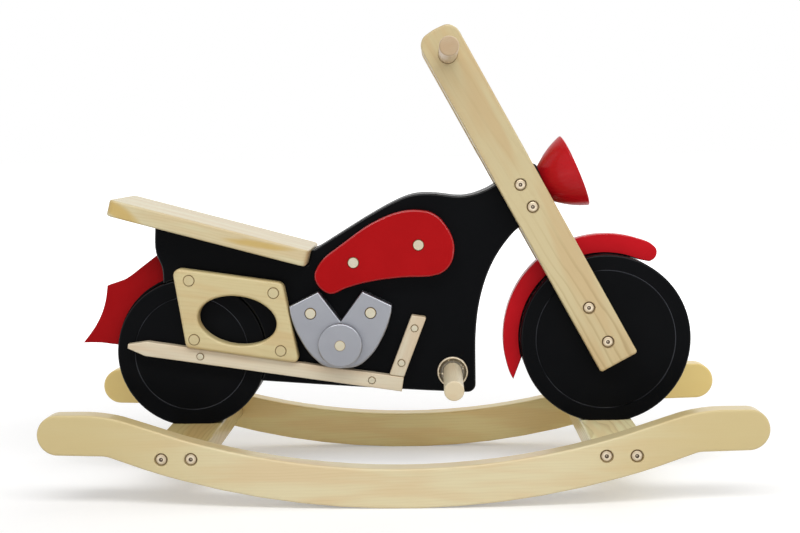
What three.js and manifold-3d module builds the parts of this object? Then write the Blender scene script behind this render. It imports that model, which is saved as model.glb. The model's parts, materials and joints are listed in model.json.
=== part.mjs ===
import * as THREE from 'three';
import { mergeVertices } from 'three/addons/utils/BufferGeometryUtils.js';
import Module from 'manifold-3d';

// A child's rocking motorcycle of painted plywood and clear pine. +X points to
// the headlight, +Y to the rider's left and +Z up. The origin is on the floor,
// midway between the two runners. The bike is a sandwich of boards: a core,
// then a side panel or a wheel disc on each side of it, then the trim, which is
// pegged on with dowels that go right through. Lengths are in millimetres.

const wasm = await Module();
wasm.setup();

const degrees = THREE.MathUtils.degToRad;
const quarterTurn = Math.PI / 2;

// Fits, edges and welds
const fitGap = 0.3;
const edgeRound = 2.5;
const smallEdgeRound = 1.5;
const cutOverrun = 5;
const weldDistance = 0.0005;

// Thickness of the layers, from the middle plane out
const coreThickness = 18;
const sideThickness = 18;
const tankThickness = 15;
const engineThickness = 18;
const engineCaseThickness = 10;
const windowBoardThickness = 18;
const pipeThickness = 12;
const legThickness = 18;
const sideFace = coreThickness / 2 + sideThickness;

// Runners: two boards with concentric curved edges and raised round tips
const runnerLength = 780;
const runnerSpan = 280;
const runnerThickness = 22;
const runnerRadius = 870;
const runnerDepth = 43.5;
const runnerTipLength = 74;
const runnerCurveSteps = 15;
const runnerTopSteps = 11;
const runnerHeelRadius = 30;
const runnerHeelSteps = 2;
const tipLift = 1.35;
const tipRadius = 22;
const tipSteps = 8;
const crownLength = 60;
const crownToTip = 45;
const crownSteps = 4;
const runnerCurveLength = runnerLength - 2 * runnerTipLength;
const crownFrom = runnerLength / 2 - crownToTip;
const crownTo = crownFrom - crownLength;
const runnerInnerFace = runnerSpan / 2 - runnerThickness;

// Crossbars: flat bars between the runners, which the wheels stand on
const crossbarWidth = 60;
const crossbarThickness = 24;
const crossbarTop = 67.5;
const rearCrossbarX = -240.5;
const frontCrossbarX = 234.5;
const crossbarMiddle = crossbarTop - crossbarThickness / 2;

// Connector bolts, and the steel barrel nuts that those of the runners end in
const boltPitch = 32;
const headSides = 12;
const shankSides = 6;
const nutSides = 8;
const boltHeadRadius = 6.5;
const boltHeadThickness = 2.4;
const boltHeadRecess = 0.6;
const boltHeadClearance = 0.75;
const boltShankRadius = 3.5;
const boltReach = 42;
const barrelNutRadius = 5;
const barrelNutLength = 15;
const barrelNutDepth = 34;

// Wheels: three layers each, flat where they stand on the crossbars
const wheelSteps = 32;
const grooveSteps = 28;
const grooveWidth = 2;
const grooveDepth = 1.2;
const frontWheel = { x: 233.5, z: 161.6, radius: 97, grooveRadius: 79.5 };
const rearWheel = { x: -243.5, z: 150.5, radius: 86.5, grooveRadius: 66 };

// Fork: two legs on one lean, bolted through the nose and the front wheel
const forkLean = degrees(28.65);
const legWidth = 47;
const legLength = 427;
const legTopRadius = 18;
const legFootRadius = 3;
const legCornerSteps = 3;
const legBelowAxle = 27;
const secondWheelBolt = 44.6;
const noseBoltsFrom = 175.3;
const noseBoltPitch = 28.4;
const handlebarFromTop = 30.8;
const handlebarRadius = 10.25;
const handlebarLength = 310;
const handlebarSides = 20;

// Seat: a pine plank that slopes down to the front
const seatTilt = degrees(15.3);
const seatLength = 231.5;
const seatWidth = 112;
const seatThickness = 19;
const seatCornerRadius = 9;
const seatCornerSteps = 3;
const seatFront = { x: -106.5, z: 252 };
const seatFrontGap = 0.6;

// Body board: one outline, which the side panels and the core share
const bodyRearX = -281;
const bodyRearUpright = 32;
const bodyRearTuck = { inward: 6.5, down: 18.2 };
const bodyBelly = { x: -20, z: 106 };
const bodyBellySteps = 4;
const bodyFrontX = 84.5;
const bodyFrontBottom = 101;
const bodyCornerRadius = 11;
const bodyCornerSteps = 3;
const wheelArchFrom = degrees(110.5);
const wheelArchTo = degrees(-22.5);
const wheelArchSteps = 16;
const rimUnderTongueSteps = 12;
const rimUnderBodySteps = 4;
const frontArchFoot = 150;
const frontArchBulge = 246;
const frontArchTop = { x: 134.8, z: 290.7 };
const frontArchSteps = 6;
const seatStep = 17;
const bodyTopRear = { x: -93.5, z: 272 };
const bodyTopFront = { x: 102.6, z: 337 };
const bodyTopSteps = 12;
// Along and up from the rear to the front of the body's top edge
const bodyTopShares = [[0, 0], [0.31, 0.565], [0.484, 0.83], [0.595, 0.912],
  [0.712, 0.895], [0.827, 0.855], [0.92, 0.9], [1, 1]];

// Headlight: a turned bell, seated on the cut end of the nose by a dowel
const headlightTilt = degrees(22.7);
const headlightRim = { x: 201.4, z: 354.4 };
const headlightRadius = 43;
const headlightBackRadius = 20.5;
const headlightDepth = 39.5;
// The side of the bell bends from the rim to the back about this point
const headlightBelly = { radius: 36.6, behind: 21.4 };
const headlightRimRound = 1.6;
const headlightSides = 26;
const headlightRings = 5;
const spigotRadius = 5;
const spigotLength = 40;
const spigotInHeadlight = 20;
const noseHalfHeight = 22.8;
const noseTopRadius = 6;
const noseBottomRadius = 3;

// Front fender: a crescent on the rim of the front wheel's core, in places
// that count from the centre of the wheel
const frontFenderRadius = 118.4;
const frontFenderCentre = { x: 2, z: 1.5 };
const frontFenderTip = { x: -104.6, z: -48.9 };
const frontFenderFrom = degrees(203);
const frontFenderInnerEnd = degrees(193.5);
const frontFenderEnd = { x: 50.5, z: 97.7, radius: 10.5 };
const frontFenderSteps = 15;
const fenderEndSteps = 4;

// Rear fender: a swept board, tucked between the side panels by a tongue
const tongueX = -262;
const tongueTop = 280;
const rearFenderReach = 131;
const rearFenderRise = 129.5;
const rearFenderInnerFrom = degrees(175);
const rearFenderSteps = 9;
// Behind and above the centre of the rear wheel
const rearFenderShares = [[0.325, 0.86], [0.452, 0.765], [0.594, 0.663], [0.765, 0.602],
  [0.782, 0.49], [0.813, 0.382], [0.896, 0.22], [1, 0.085], [0.84, 0.083], [0.736, 0.068]];

// Tank
const tankCorner = { x: -97.6, z: 220.2 };
const tankLength = 158.4;
const tankHeight = 93.4;
const tankSteps = 28;
// From the tank's rear bottom corner
const tankShares = [[0, 0.22], [0.082, 0], [0.285, 0.095], [0.486, 0.16], [0.687, 0.188],
  [0.838, 0.194], [0.938, 0.26], [0.994, 0.405], [1, 0.608], [0.951, 0.794], [0.863, 0.95],
  [0.734, 1], [0.595, 0.973], [0.393, 0.825], [0.191, 0.584], [0.068, 0.425]];

// Engine: a V of two cylinder heads, with a round case on it
const engineFoot = { x: -68.5, z: 134.2 };
const engineHalfWidth = 58.4;
const engineHeight = 88.5;
const engineCase = { x: -0.5, z: 28.1, radius: 25.2 };
const engineCaseSides = 28;
const engineSteps = 9;
// Out from the middle and up from the foot
const engineNotchShares = [0, 0.616];
const engineHeadShares = [[0.43, 1], [1, 0.816]];
const engineFlankShares = [[0.996, 0.75], [0.925, 0.564], [0.798, 0.378], [0.613, 0.186],
  [0.356, 0.042], [0.183, 0.0085], [0, 0]];

// The board with the oval window, the exhaust pipe below it and the short
// strip: all are set on one tilt, down to the front. Their places count back
// from the middle of the pipe's front end
const trimTilt = degrees(8.57);
const pipeFront = { x: 0.78, z: 113.9 };
const pipeLength = 319;
const pipeHeight = 16.9;
const pipeTaper = { length: 21, height: 5 };
const windowBoard = {
  behind: 251.1, bottom: 131.1, top: 127.7, rearLean: 27.2, height: 89.3,
  topRadius: 10, footRadius: 7,
};
const windowBoardCornerSteps = 3;
const oval = { along: 54.4, up: 39, halfLength: 45, halfHeight: 28 };
const ovalSteps = 24;
const strip = { behind: 17, width: 17.2, lean: 16.1, height: 72, radius: 1.5 };

// Dowels of the trim: wide ones, and narrow ones for the pipe and the strip
const wideDowelRadius = 6.1;
const narrowDowelRadius = 4;
const dowelSides = 8;
const dowelProud = 0.7;
// Along and up the piece that the dowels hold, but for the pipe behind its front
const tankDowelShares = [[0.281, 0.372], [0.748, 0.576]];
const engineDowelShares = [[-0.585, 0.72], [0.585, 0.72]];
const windowBoardDowelShares = [[0.09, 0.121], [0.855, 0.131], [0.141, 0.866], [0.896, 0.856]];
const pipeDowelShares = [0.735, 0.112];
const stripDowelShares = [0.22, 0.8];

// Foot peg: a dowel through the body, with a dished steel washer on each side
const footPeg = { x: 58, z: 126 };
const footPegRadius = 10.75;
const footPegLength = 270;
const footPegSides = 20;
const barEndRound = 1.8;
const washerRadius = 17.7;
const washerHeight = 3.2;
const washerRimWidth = 1.6;
const washerDish = 1.6;

// Finishes
const finish = (color, roughness, metalness) =>
  new THREE.MeshStandardMaterial({ color, roughness, metalness });
const pine = finish(0xdcc594, 0.55, 0);
const beech = finish(0xdcc3a4, 0.6, 0);
const blackPaint = finish(0x101114, 0.35, 0);
const redPaint = finish(0xa71518, 0.3, 0);
const silverPaint = finish(0x9699a4, 0.35, 0.4);
const steel = finish(0x9c9a96, 0.3, 0.9);

// Outlines are lists of points in the XZ plane, with Z in the second place

function point(x, z) {
  return new THREE.Vector2(x, z);
}

function arc(centre, radius, from, to, steps) {
  return Array.from({ length: steps + 1 }, (unused, step) => {
    const angle = from + (to - from) * step / steps;
    return point(centre.x + radius * Math.cos(angle), centre.z + radius * Math.sin(angle));
  });
}

function bend(start, control, end, steps) {
  return new THREE.QuadraticBezierCurve(start, control, end).getPoints(steps);
}

function mirrored(points) {
  return points.map((p) => point(-p.x, p.y)).reverse();
}

function smoothLoop(points, steps) {
  const knots = points.map((p) => new THREE.Vector3(p.x, p.y, 0));
  const loop = new THREE.CatmullRomCurve3(knots, true, 'centripetal').getPoints(steps);
  return loop.slice(0, steps).map((p) => point(p.x, p.y));
}

// A corner of an outline, cut back to a round of the given radius
function roundedCorner(before, corner, after, radius, steps) {
  const back = before.clone().sub(corner);
  const on = after.clone().sub(corner);
  const half = back.angleTo(on) / 2;
  const length = Math.min(radius / Math.tan(half), back.length() / 2, on.length() / 2);
  const start = corner.clone().addScaledVector(back.normalize(), length);
  const end = corner.clone().addScaledVector(on.normalize(), length);
  return bend(start, corner, end, steps);
}

// Each corner has a round of its own: a radius and a number of steps
function roundedPolygon(corners, rounds) {
  return corners.flatMap((corner, index) => {
    const before = corners[(index + corners.length - 1) % corners.length];
    const after = corners[(index + 1) % corners.length];
    return roundedCorner(before, corner, after, ...rounds[index]);
  });
}

// Solids, for the cuts

function solidOf(geometry) {
  const bare = geometry.clone();
  bare.deleteAttribute('normal');
  bare.deleteAttribute('uv');
  const welded = mergeVertices(bare, weldDistance);
  const corners = Array.from(welded.index.array);
  const triangles = [];
  for (let first = 0; first < corners.length; first += 3) {
    const triangle = corners.slice(first, first + 3);
    if (new Set(triangle).size === 3) {
      triangles.push(...triangle);
    }
  }
  return new wasm.Manifold(new wasm.Mesh({
    numProp: 3,
    vertProperties: new Float32Array(welded.getAttribute('position').array),
    triVerts: new Uint32Array(triangles),
  }));
}

function geometryOf(solid) {
  const mesh = solid.getMesh();
  const geometry = new THREE.BufferGeometry();
  geometry.setAttribute('position', new THREE.BufferAttribute(mesh.vertProperties, 3));
  geometry.setIndex(new THREE.BufferAttribute(mesh.triVerts, 1));
  const faceted = geometry.toNonIndexed();
  faceted.computeVertexNormals();
  return faceted;
}

function cutAway(geometry, cutters) {
  const whole = solidOf(geometry);
  return geometryOf(cutters.reduce((solid, cutter) => solid.subtract(solidOf(cutter)), whole));
}

// A board stands in the XZ plane, centred on its own middle plane. The edges of
// both faces are taken off, unless the board is a core between two others
function board(outline, thickness, edge, windows = []) {
  const shape = new THREE.Shape(outline);
  shape.holes = windows.map((window) => new THREE.Path(window));
  const geometry = new THREE.ExtrudeGeometry(shape, {
    depth: thickness - 2 * edge,
    bevelEnabled: edge > 0,
    bevelThickness: edge,
    bevelSize: edge,
    bevelOffset: -edge,
    bevelSegments: 1,
  });
  geometry.translate(0, 0, edge - thickness / 2);
  geometry.rotateX(quarterTurn);
  return geometry;
}

// A round hole through a board, along Y
function bore(place, radius, length, sides) {
  const hole = new THREE.CylinderGeometry(radius, radius, length, sides);
  hole.translate(place.x, 0, place.z);
  return hole;
}

function turned(profile, sides) {
  return geometryOf(solidOf(new THREE.LatheGeometry(profile, sides)));
}

// A round bar along Y with its end edges taken off
function roundBar(radius, length, edge, sides) {
  const half = length / 2;
  return turned([
    point(0, -half), point(radius - edge, -half), point(radius, edge - half),
    point(radius, half - edge), point(radius - edge, half), point(0, half),
  ], sides);
}

// A place that counts along and up the tilt of the trim, in the bike's frame
function onTrim(origin, along, up) {
  return {
    x: origin.x + along * Math.cos(trimTilt) + up * Math.sin(trimTilt),
    z: origin.z - along * Math.sin(trimTilt) + up * Math.cos(trimTilt),
  };
}

function onSeat(along, up) {
  return point(
    seatFront.x + along * Math.cos(seatTilt) + up * Math.sin(seatTilt),
    seatFront.z - along * Math.sin(seatTilt) + up * Math.cos(seatTilt),
  );
}

function onHeadlight(along, across) {
  return point(
    headlightRim.x + along * Math.cos(headlightTilt) - across * Math.sin(headlightTilt),
    headlightRim.z + along * Math.sin(headlightTilt) + across * Math.cos(headlightTilt),
  );
}

function upFork(distance) {
  return {
    x: frontWheel.x - distance * Math.sin(forkLean),
    z: frontWheel.z + distance * Math.cos(forkLean),
  };
}

// Runners and crossbars

function crossbarBolts(crossbarX) {
  return [-boltPitch / 2, boltPitch / 2].map((offset) => ({
    x: crossbarX + offset,
    z: crossbarMiddle,
  }));
}

const runnerBolts = [...crossbarBolts(rearCrossbarX), ...crossbarBolts(frontCrossbarX)];

function runnerOutline() {
  const sweep = Math.asin(runnerCurveLength / 2 / runnerRadius);
  // The middle step is a short flat on the floor
  const centre = { x: 0, z: runnerRadius * Math.cos(sweep / runnerCurveSteps) };
  const underside = arc(centre, runnerRadius, -quarterTurn - sweep, sweep - quarterTurn,
    runnerCurveSteps);
  // The tips' underside is a little above the ends of the curve
  const tip = { x: runnerLength / 2 - tipRadius, z: underside.at(-1).y + tipLift + tipRadius };
  const nose = arc(tip, tipRadius, -quarterTurn, quarterTurn, tipSteps);
  const heel = roundedCorner(underside.at(-2), underside.at(-1), nose[0],
    runnerHeelRadius, runnerHeelSteps);
  const topRadius = runnerRadius - runnerDepth;
  const topSweep = Math.asin(crownTo / topRadius);
  const top = arc(centre, topRadius, topSweep - quarterTurn, -quarterTurn - topSweep,
    runnerTopSteps);
  const crest = point(crownFrom, tip.z + tipRadius);
  const shoulder = point(crownTo + (crest.y - top[0].y) / Math.tan(topSweep), crest.y);
  const crown = bend(crest, shoulder, top[0], crownSteps);
  return [...mirrored(heel), ...underside.slice(1, -1), ...heel, ...nose, ...crown,
    ...top.slice(1, -1), ...mirrored(crown), ...mirrored(nose)];
}

function runner(side) {
  const counterbore = boltHeadThickness + boltHeadRecess;
  const cutters = runnerBolts.flatMap((bolt) => {
    const head = bore(bolt, boltHeadRadius + boltHeadClearance, 2 * counterbore, headSides);
    head.translate(0, side * runnerThickness / 2, 0);
    const through = runnerThickness + 2 * cutOverrun;
    return [head, bore(bolt, boltShankRadius + fitGap, through, shankSides)];
  });
  return cutAway(board(runnerOutline(), runnerThickness, edgeRound), cutters);
}

// A crossbar has blind bores for its bolts, and for the nuts from below
function crossbar(crossbarX) {
  const halfWidth = crossbarWidth / 2;
  const halfThickness = crossbarThickness / 2;
  const corners = [point(-halfWidth, -halfThickness), point(halfWidth, -halfThickness),
    point(halfWidth, halfThickness), point(-halfWidth, halfThickness)];
  const edges = roundedPolygon(corners, corners.map(() => [smallEdgeRound, 1]));
  const bar = new THREE.ExtrudeGeometry(new THREE.Shape(edges), {
    depth: 2 * runnerInnerFace,
    bevelEnabled: false,
  });
  bar.translate(0, 0, -runnerInnerFace);
  bar.rotateX(quarterTurn);
  bar.translate(crossbarX, 0, crossbarMiddle);
  const nutTop = barrelNutLength / 2 + fitGap;
  const nutBoreLength = nutTop + halfThickness + cutOverrun;
  const cutters = crossbarBolts(crossbarX).flatMap((bolt) => [-1, 1].flatMap((side) => {
    const shank = bore(bolt, boltShankRadius + fitGap, 2 * (boltReach + fitGap), shankSides);
    shank.translate(0, side * runnerInnerFace, 0);
    const nutRadius = barrelNutRadius + fitGap;
    const nut = new THREE.CylinderGeometry(nutRadius, nutRadius, nutBoreLength, nutSides);
    nut.rotateX(quarterTurn);
    nut.translate(bolt.x, side * (runnerInnerFace - barrelNutDepth),
      bolt.z + nutTop - nutBoreLength / 2);
    return [shank, nut];
  }));
  return cutAway(bar, cutters);
}

// A length of a bolt, along Y between the two places
function boltCylinder(radius, from, to, sides) {
  const cylinder = new THREE.CylinderGeometry(radius, radius, to - from, sides);
  cylinder.translate(0, (from + to) / 2, 0);
  return solidOf(cylinder);
}

// A connector bolt with its nut, along Y from the crossbar's end face
function runnerBolt(side) {
  const headTop = runnerThickness - boltHeadRecess;
  const shank = boltCylinder(boltShankRadius, -boltReach, headTop, shankSides);
  const head = boltCylinder(boltHeadRadius, headTop - boltHeadThickness, headTop, headSides);
  const nut = new THREE.CylinderGeometry(barrelNutRadius, barrelNutRadius, barrelNutLength,
    nutSides);
  nut.rotateX(quarterTurn);
  nut.translate(0, -barrelNutDepth, 0);
  const joined = geometryOf(shank.add(head).add(solidOf(nut)));
  if (side < 0) {
    joined.rotateX(2 * quarterTurn);
  }
  return joined;
}

// Dowels of the trim, named by what they hold. Each goes from trim to trim

const windowBoardFoot = onTrim(pipeFront, -windowBoard.behind, pipeHeight / 2 + fitGap);
const stripFoot = onTrim(pipeFront, -strip.behind, pipeHeight / 2 + fitGap);

function dowelSet(names, radius, thickness, places) {
  return places.map((place, index) => ({
    ...place,
    name: `dowel_${names[index]}`,
    radius,
    reach: sideFace + thickness + dowelProud,
  }));
}

const tankDowels = dowelSet(['tank_rear', 'tank_front'], wideDowelRadius, tankThickness,
  tankDowelShares.map(([along, up]) => ({
    x: tankCorner.x + along * tankLength,
    z: tankCorner.z + up * tankHeight,
  })));

const engineDowels = dowelSet(['engine_rear', 'engine_front'], wideDowelRadius,
  engineThickness, engineDowelShares.map(([out, up]) => ({
    x: engineFoot.x + out * engineHalfWidth,
    z: engineFoot.z + up * engineHeight,
  })));

const engineCasePlace = { x: engineFoot.x + engineCase.x, z: engineFoot.z + engineCase.z };
const engineCaseDowels = dowelSet(['engine_case'], wideDowelRadius,
  engineThickness + engineCaseThickness, [engineCasePlace]);

const windowBoardDowels = dowelSet(
  ['window_board_1', 'window_board_2', 'window_board_3', 'window_board_4'],
  wideDowelRadius, windowBoardThickness, windowBoardDowelShares.map(([along, up]) => {
    const width = windowBoard.bottom + up * (windowBoard.top - windowBoard.bottom);
    return onTrim(windowBoardFoot, along * width - up * windowBoard.rearLean,
      up * windowBoard.height);
  }));

const pipeDowels = dowelSet(['pipe_rear', 'pipe_front'], narrowDowelRadius, pipeThickness,
  pipeDowelShares.map((behind) => onTrim(pipeFront, -behind * pipeLength, 0)));

const stripDowels = dowelSet(['strip_bottom', 'strip_top'], narrowDowelRadius, pipeThickness,
  stripDowelShares.map((up) =>
    onTrim(stripFoot, strip.width / 2 + up * strip.lean, up * strip.height)));

const trimDowels = [...tankDowels, ...engineDowels, ...engineCaseDowels, ...windowBoardDowels,
  ...pipeDowels, ...stripDowels];

function dowelBores(held) {
  const through = 2 * (sideFace + cutOverrun);
  return held.map((hole) => bore(hole, hole.radius + fitGap, through, dowelSides));
}

// Through bolts of the fork

const wheelBolts = [
  { name: 'fork_bolt_axle', ...upFork(0) },
  { name: 'fork_bolt_wheel', ...upFork(secondWheelBolt) },
];
const noseBolts = [
  { name: 'fork_bolt_nose_lower', ...upFork(noseBoltsFrom) },
  { name: 'fork_bolt_nose_upper', ...upFork(noseBoltsFrom + noseBoltPitch) },
];

const handlebarPlace = upFork(legLength - legBelowAxle - handlebarFromTop);

function boltBores(bolts) {
  const through = 2 * (sideFace + cutOverrun);
  return bolts.map((bolt) => bore(bolt, boltShankRadius + fitGap, through, shankSides));
}

function forkBolt() {
  const headTop = sideFace + legThickness - boltHeadRecess;
  const headUnder = headTop - boltHeadThickness;
  const shank = boltCylinder(boltShankRadius, -headTop, headTop, shankSides);
  const heads = [[headUnder, headTop], [-headTop, -headUnder]].map(([from, to]) =>
    boltCylinder(boltHeadRadius, from, to, headSides));
  return geometryOf(shank.add(heads[0]).add(heads[1]));
}

// The body's outline from the rear wheel along the belly, up the front arch to
// the nose, and back over the top to the seat
function bodyFront() {
  const start = arc(rearWheel, rearWheel.radius + fitGap, wheelArchTo, wheelArchFrom, 1)[0];
  const corner = point(bodyFrontX, bodyFrontBottom);
  const belly = bend(start, point(bodyBelly.x, bodyBelly.z), corner, bodyBellySteps);
  const archFoot = point(bodyFrontX, frontArchFoot);
  const archTop = point(frontArchTop.x, frontArchTop.z);
  const noseEnd = -headlightDepth - fitGap;
  const noseBottom = onHeadlight(noseEnd, -noseHalfHeight);
  const noseTop = onHeadlight(noseEnd, noseHalfHeight + noseTopRadius);
  const topEnd = point(bodyTopFront.x, bodyTopFront.z);
  const rise = point(bodyTopFront.x - bodyTopRear.x, bodyTopFront.z - bodyTopRear.z);
  const top = new THREE.SplineCurve(bodyTopShares.map(([along, up]) =>
    point(bodyTopRear.x + along * rise.x, bodyTopRear.z + up * rise.y)));
  return [
    ...belly.slice(0, -1),
    ...roundedCorner(belly.at(-2), corner, archFoot, bodyCornerRadius, bodyCornerSteps),
    ...bend(archFoot, point(bodyFrontX, frontArchBulge), archTop, frontArchSteps),
    ...roundedCorner(archTop, noseBottom, noseTop, noseBottomRadius, 1),
    ...roundedCorner(noseBottom, noseTop, topEnd, noseTopRadius, bodyCornerSteps),
    ...top.getPoints(bodyTopSteps).reverse(),
    onSeat(seatFrontGap, seatStep),
    onSeat(seatFrontGap, -fitGap),
  ];
}

// The top of the rear edge, just under the seat
function bodyRearTop() {
  const along = (bodyRearX - seatFront.x) / Math.cos(seatTilt);
  return point(bodyRearX, onSeat(along, -fitGap).y);
}

function bodyBores() {
  const through = 2 * (sideFace + cutOverrun);
  return [
    ...boltBores(noseBolts),
    ...dowelBores(trimDowels),
    bore(footPeg, footPegRadius + fitGap, through, footPegSides),
  ];
}

function sidePanel() {
  const top = bodyRearTop();
  const uprightFoot = top.y - bodyRearUpright;
  const outline = [
    top,
    point(bodyRearX, uprightFoot),
    point(bodyRearX + bodyRearTuck.inward, uprightFoot - bodyRearTuck.down),
    ...arc(rearWheel, rearWheel.radius + fitGap, wheelArchFrom, wheelArchTo,
      wheelArchSteps).slice(0, -1),
    ...bodyFront(),
  ];
  return cutAway(board(outline, sideThickness, edgeRound), bodyBores());
}

// Half of the angle that the flat of a wheel takes at its centre
function flatHalfAngle(wheel) {
  return Math.acos((wheel.z - crossbarTop) / wheel.radius);
}

function rearFenderPlace([behind, above]) {
  return point(rearWheel.x - behind * rearFenderReach, rearWheel.z + above * rearFenderRise);
}

// The middle layer is one board: the body, and the middle of the rear wheel
function bodyCore() {
  const half = flatHalfAngle(rearWheel);
  const tongueAngle = Math.acos((tongueX - rearWheel.x) / rearWheel.radius);
  const rearRim = arc(rearWheel, rearWheel.radius, tongueAngle, 3 * quarterTurn - half,
    rimUnderTongueSteps);
  const frontRim = arc(rearWheel, rearWheel.radius, half - quarterTurn, wheelArchTo,
    rimUnderBodySteps);
  rearRim.at(-1).y = crossbarTop;
  frontRim[0].y = crossbarTop;
  const fenderTop = rearFenderPlace(rearFenderShares[0]);
  const slope = (tongueTop - fenderTop.y) / (tongueX - fenderTop.x);
  const notchTop = tongueTop + 2 * fitGap;
  const outline = [
    bodyRearTop(),
    point(bodyRearX, notchTop + slope * (bodyRearX - tongueX)),
    point(tongueX, notchTop),
    ...rearRim,
    ...frontRim.slice(0, -1),
    ...bodyFront(),
  ];
  return cutAway(board(outline, coreThickness, 0), [...bodyBores(), spigotCylinder(fitGap)]);
}

function rearFender() {
  const innerRadius = rearWheel.radius + fitGap;
  const tongueEdge = tongueX - fitGap;
  const innerTo = Math.acos((tongueEdge - rearWheel.x) / innerRadius);
  const outline = [
    point(tongueEdge, tongueTop),
    ...rearFenderShares.map(rearFenderPlace),
    ...arc(rearWheel, innerRadius, rearFenderInnerFrom, innerTo, rearFenderSteps),
  ];
  return geometryOf(solidOf(board(outline, coreThickness, smallEdgeRound)));
}

// Wheels, each about its own centre

function aboutWheel(wheel, cutters) {
  return cutters.map((cutter) => cutter.translate(-wheel.x, 0, -wheel.z));
}

function wheelBoard(wheel, thickness, edge) {
  const half = flatHalfAngle(wheel);
  const rim = arc({ x: 0, z: 0 }, wheel.radius, half - quarterTurn, 3 * quarterTurn - half,
    wheelSteps);
  rim[0].y = crossbarTop - wheel.z;
  rim.at(-1).y = crossbarTop - wheel.z;
  return board(rim, thickness, edge);
}

function wheelDisc(wheel, side, bores) {
  const outer = wheel.grooveRadius + grooveWidth / 2;
  const inner = wheel.grooveRadius - grooveWidth / 2;
  const groove = solidOf(new THREE.CylinderGeometry(outer, outer, 2 * grooveDepth, grooveSteps))
    .subtract(solidOf(new THREE.CylinderGeometry(inner, inner, 2 * grooveDepth + cutOverrun,
      grooveSteps)));
  const ring = geometryOf(groove);
  ring.translate(0, side * sideThickness / 2, 0);
  return cutAway(wheelBoard(wheel, sideThickness, edgeRound),
    [ring, ...aboutWheel(wheel, bores)]);
}

function frontWheelCore() {
  return cutAway(wheelBoard(frontWheel, coreThickness, 0),
    aboutWheel(frontWheel, boltBores(wheelBolts)));
}

function frontFender() {
  const innerRadius = frontWheel.radius + fitGap;
  const endAngle = Math.atan2(frontFenderEnd.z, frontFenderEnd.x);
  const centre = { x: 0, z: 0 };
  const outline = [
    ...arc(centre, innerRadius, endAngle, frontFenderInnerEnd, frontFenderSteps).slice(1),
    point(frontFenderTip.x, frontFenderTip.z),
    ...arc(frontFenderCentre, frontFenderRadius, frontFenderFrom, endAngle, frontFenderSteps)
      .slice(0, -1),
    ...arc(frontFenderEnd, frontFenderEnd.radius, endAngle, endAngle - 2 * quarterTurn,
      fenderEndSteps),
  ];
  return geometryOf(solidOf(board(outline, coreThickness, smallEdgeRound)));
}

// Fork leg, leaned back about the wheel's centre
function forkLeg(side) {
  const half = legWidth / 2;
  const top = legLength - legBelowAxle;
  const corners = [point(-half, -legBelowAxle), point(half, -legBelowAxle),
    point(half, top), point(-half, top)];
  const foot = [legFootRadius, 1];
  const head = [legTopRadius, legCornerSteps];
  const leg = board(roundedPolygon(corners, [foot, foot, head, head]), legThickness, edgeRound);
  leg.rotateY(-forkLean);
  const counterbore = boltHeadThickness + boltHeadRecess;
  const through = legThickness + 2 * cutOverrun;
  const cutters = [...wheelBolts, ...noseBolts].flatMap((bolt) => {
    const seat = bore(bolt, boltHeadRadius + boltHeadClearance, 2 * counterbore, headSides);
    seat.translate(0, side * legThickness / 2, 0);
    return [seat, bore(bolt, boltShankRadius + fitGap, through, shankSides)];
  });
  cutters.push(bore(handlebarPlace, handlebarRadius + fitGap, through, handlebarSides));
  return cutAway(leg, aboutWheel(frontWheel, cutters));
}

// Trim

function tank() {
  const outline = smoothLoop(tankShares.map(([along, up]) =>
    point(tankCorner.x + along * tankLength, tankCorner.z + up * tankHeight)), tankSteps);
  return cutAway(board(outline, tankThickness, edgeRound), dowelBores(tankDowels));
}

function engine() {
  const shared = ([out, up]) => point(out * engineHalfWidth, up * engineHeight);
  const flank = new THREE.SplineCurve(engineFlankShares.map(shared)).getPoints(engineSteps);
  const half = [...engineHeadShares.map(shared), ...flank.slice(0, -1)];
  const outline = [shared(engineNotchShares), ...half, flank.at(-1), ...mirrored(half)];
  outline.forEach((p) => p.add(point(engineFoot.x, engineFoot.z)));
  return cutAway(board(outline, engineThickness, smallEdgeRound),
    dowelBores([...engineDowels, ...engineCaseDowels]));
}

// The round case lies on the engine, with its outer edge taken off
function engineCaseDisc(side) {
  const half = engineCaseThickness / 2;
  const disc = turned([
    point(0, -half), point(engineCase.radius, -half),
    point(engineCase.radius, half - edgeRound), point(engineCase.radius - edgeRound, half),
    point(0, half),
  ], engineCaseSides);
  if (side < 0) {
    disc.rotateX(2 * quarterTurn);
  }
  disc.translate(engineCasePlace.x, 0, engineCasePlace.z);
  return cutAway(disc, dowelBores(engineCaseDowels));
}

function trimOutline(origin, places) {
  return places.map(([along, up]) => {
    const centre = onTrim(origin, along, up);
    return point(centre.x, centre.z);
  });
}

function ovalBoard() {
  const headEnd = windowBoard.top - windowBoard.rearLean;
  const corners = trimOutline(windowBoardFoot, [[0, 0], [windowBoard.bottom, 0],
    [headEnd, windowBoard.height], [-windowBoard.rearLean, windowBoard.height]]);
  const foot = [windowBoard.footRadius, windowBoardCornerSteps];
  const head = [windowBoard.topRadius, windowBoardCornerSteps];
  const outline = roundedPolygon(corners, [foot, foot, head, head]);
  const window = trimOutline(windowBoardFoot, Array.from({ length: ovalSteps }, (unused, step) => {
    const angle = 4 * quarterTurn * step / ovalSteps;
    return [oval.along + oval.halfLength * Math.cos(angle),
      oval.up + oval.halfHeight * Math.sin(angle)];
  }));
  const plate = board(outline, windowBoardThickness, edgeRound, [window]);
  return cutAway(plate, dowelBores(windowBoardDowels));
}

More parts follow.
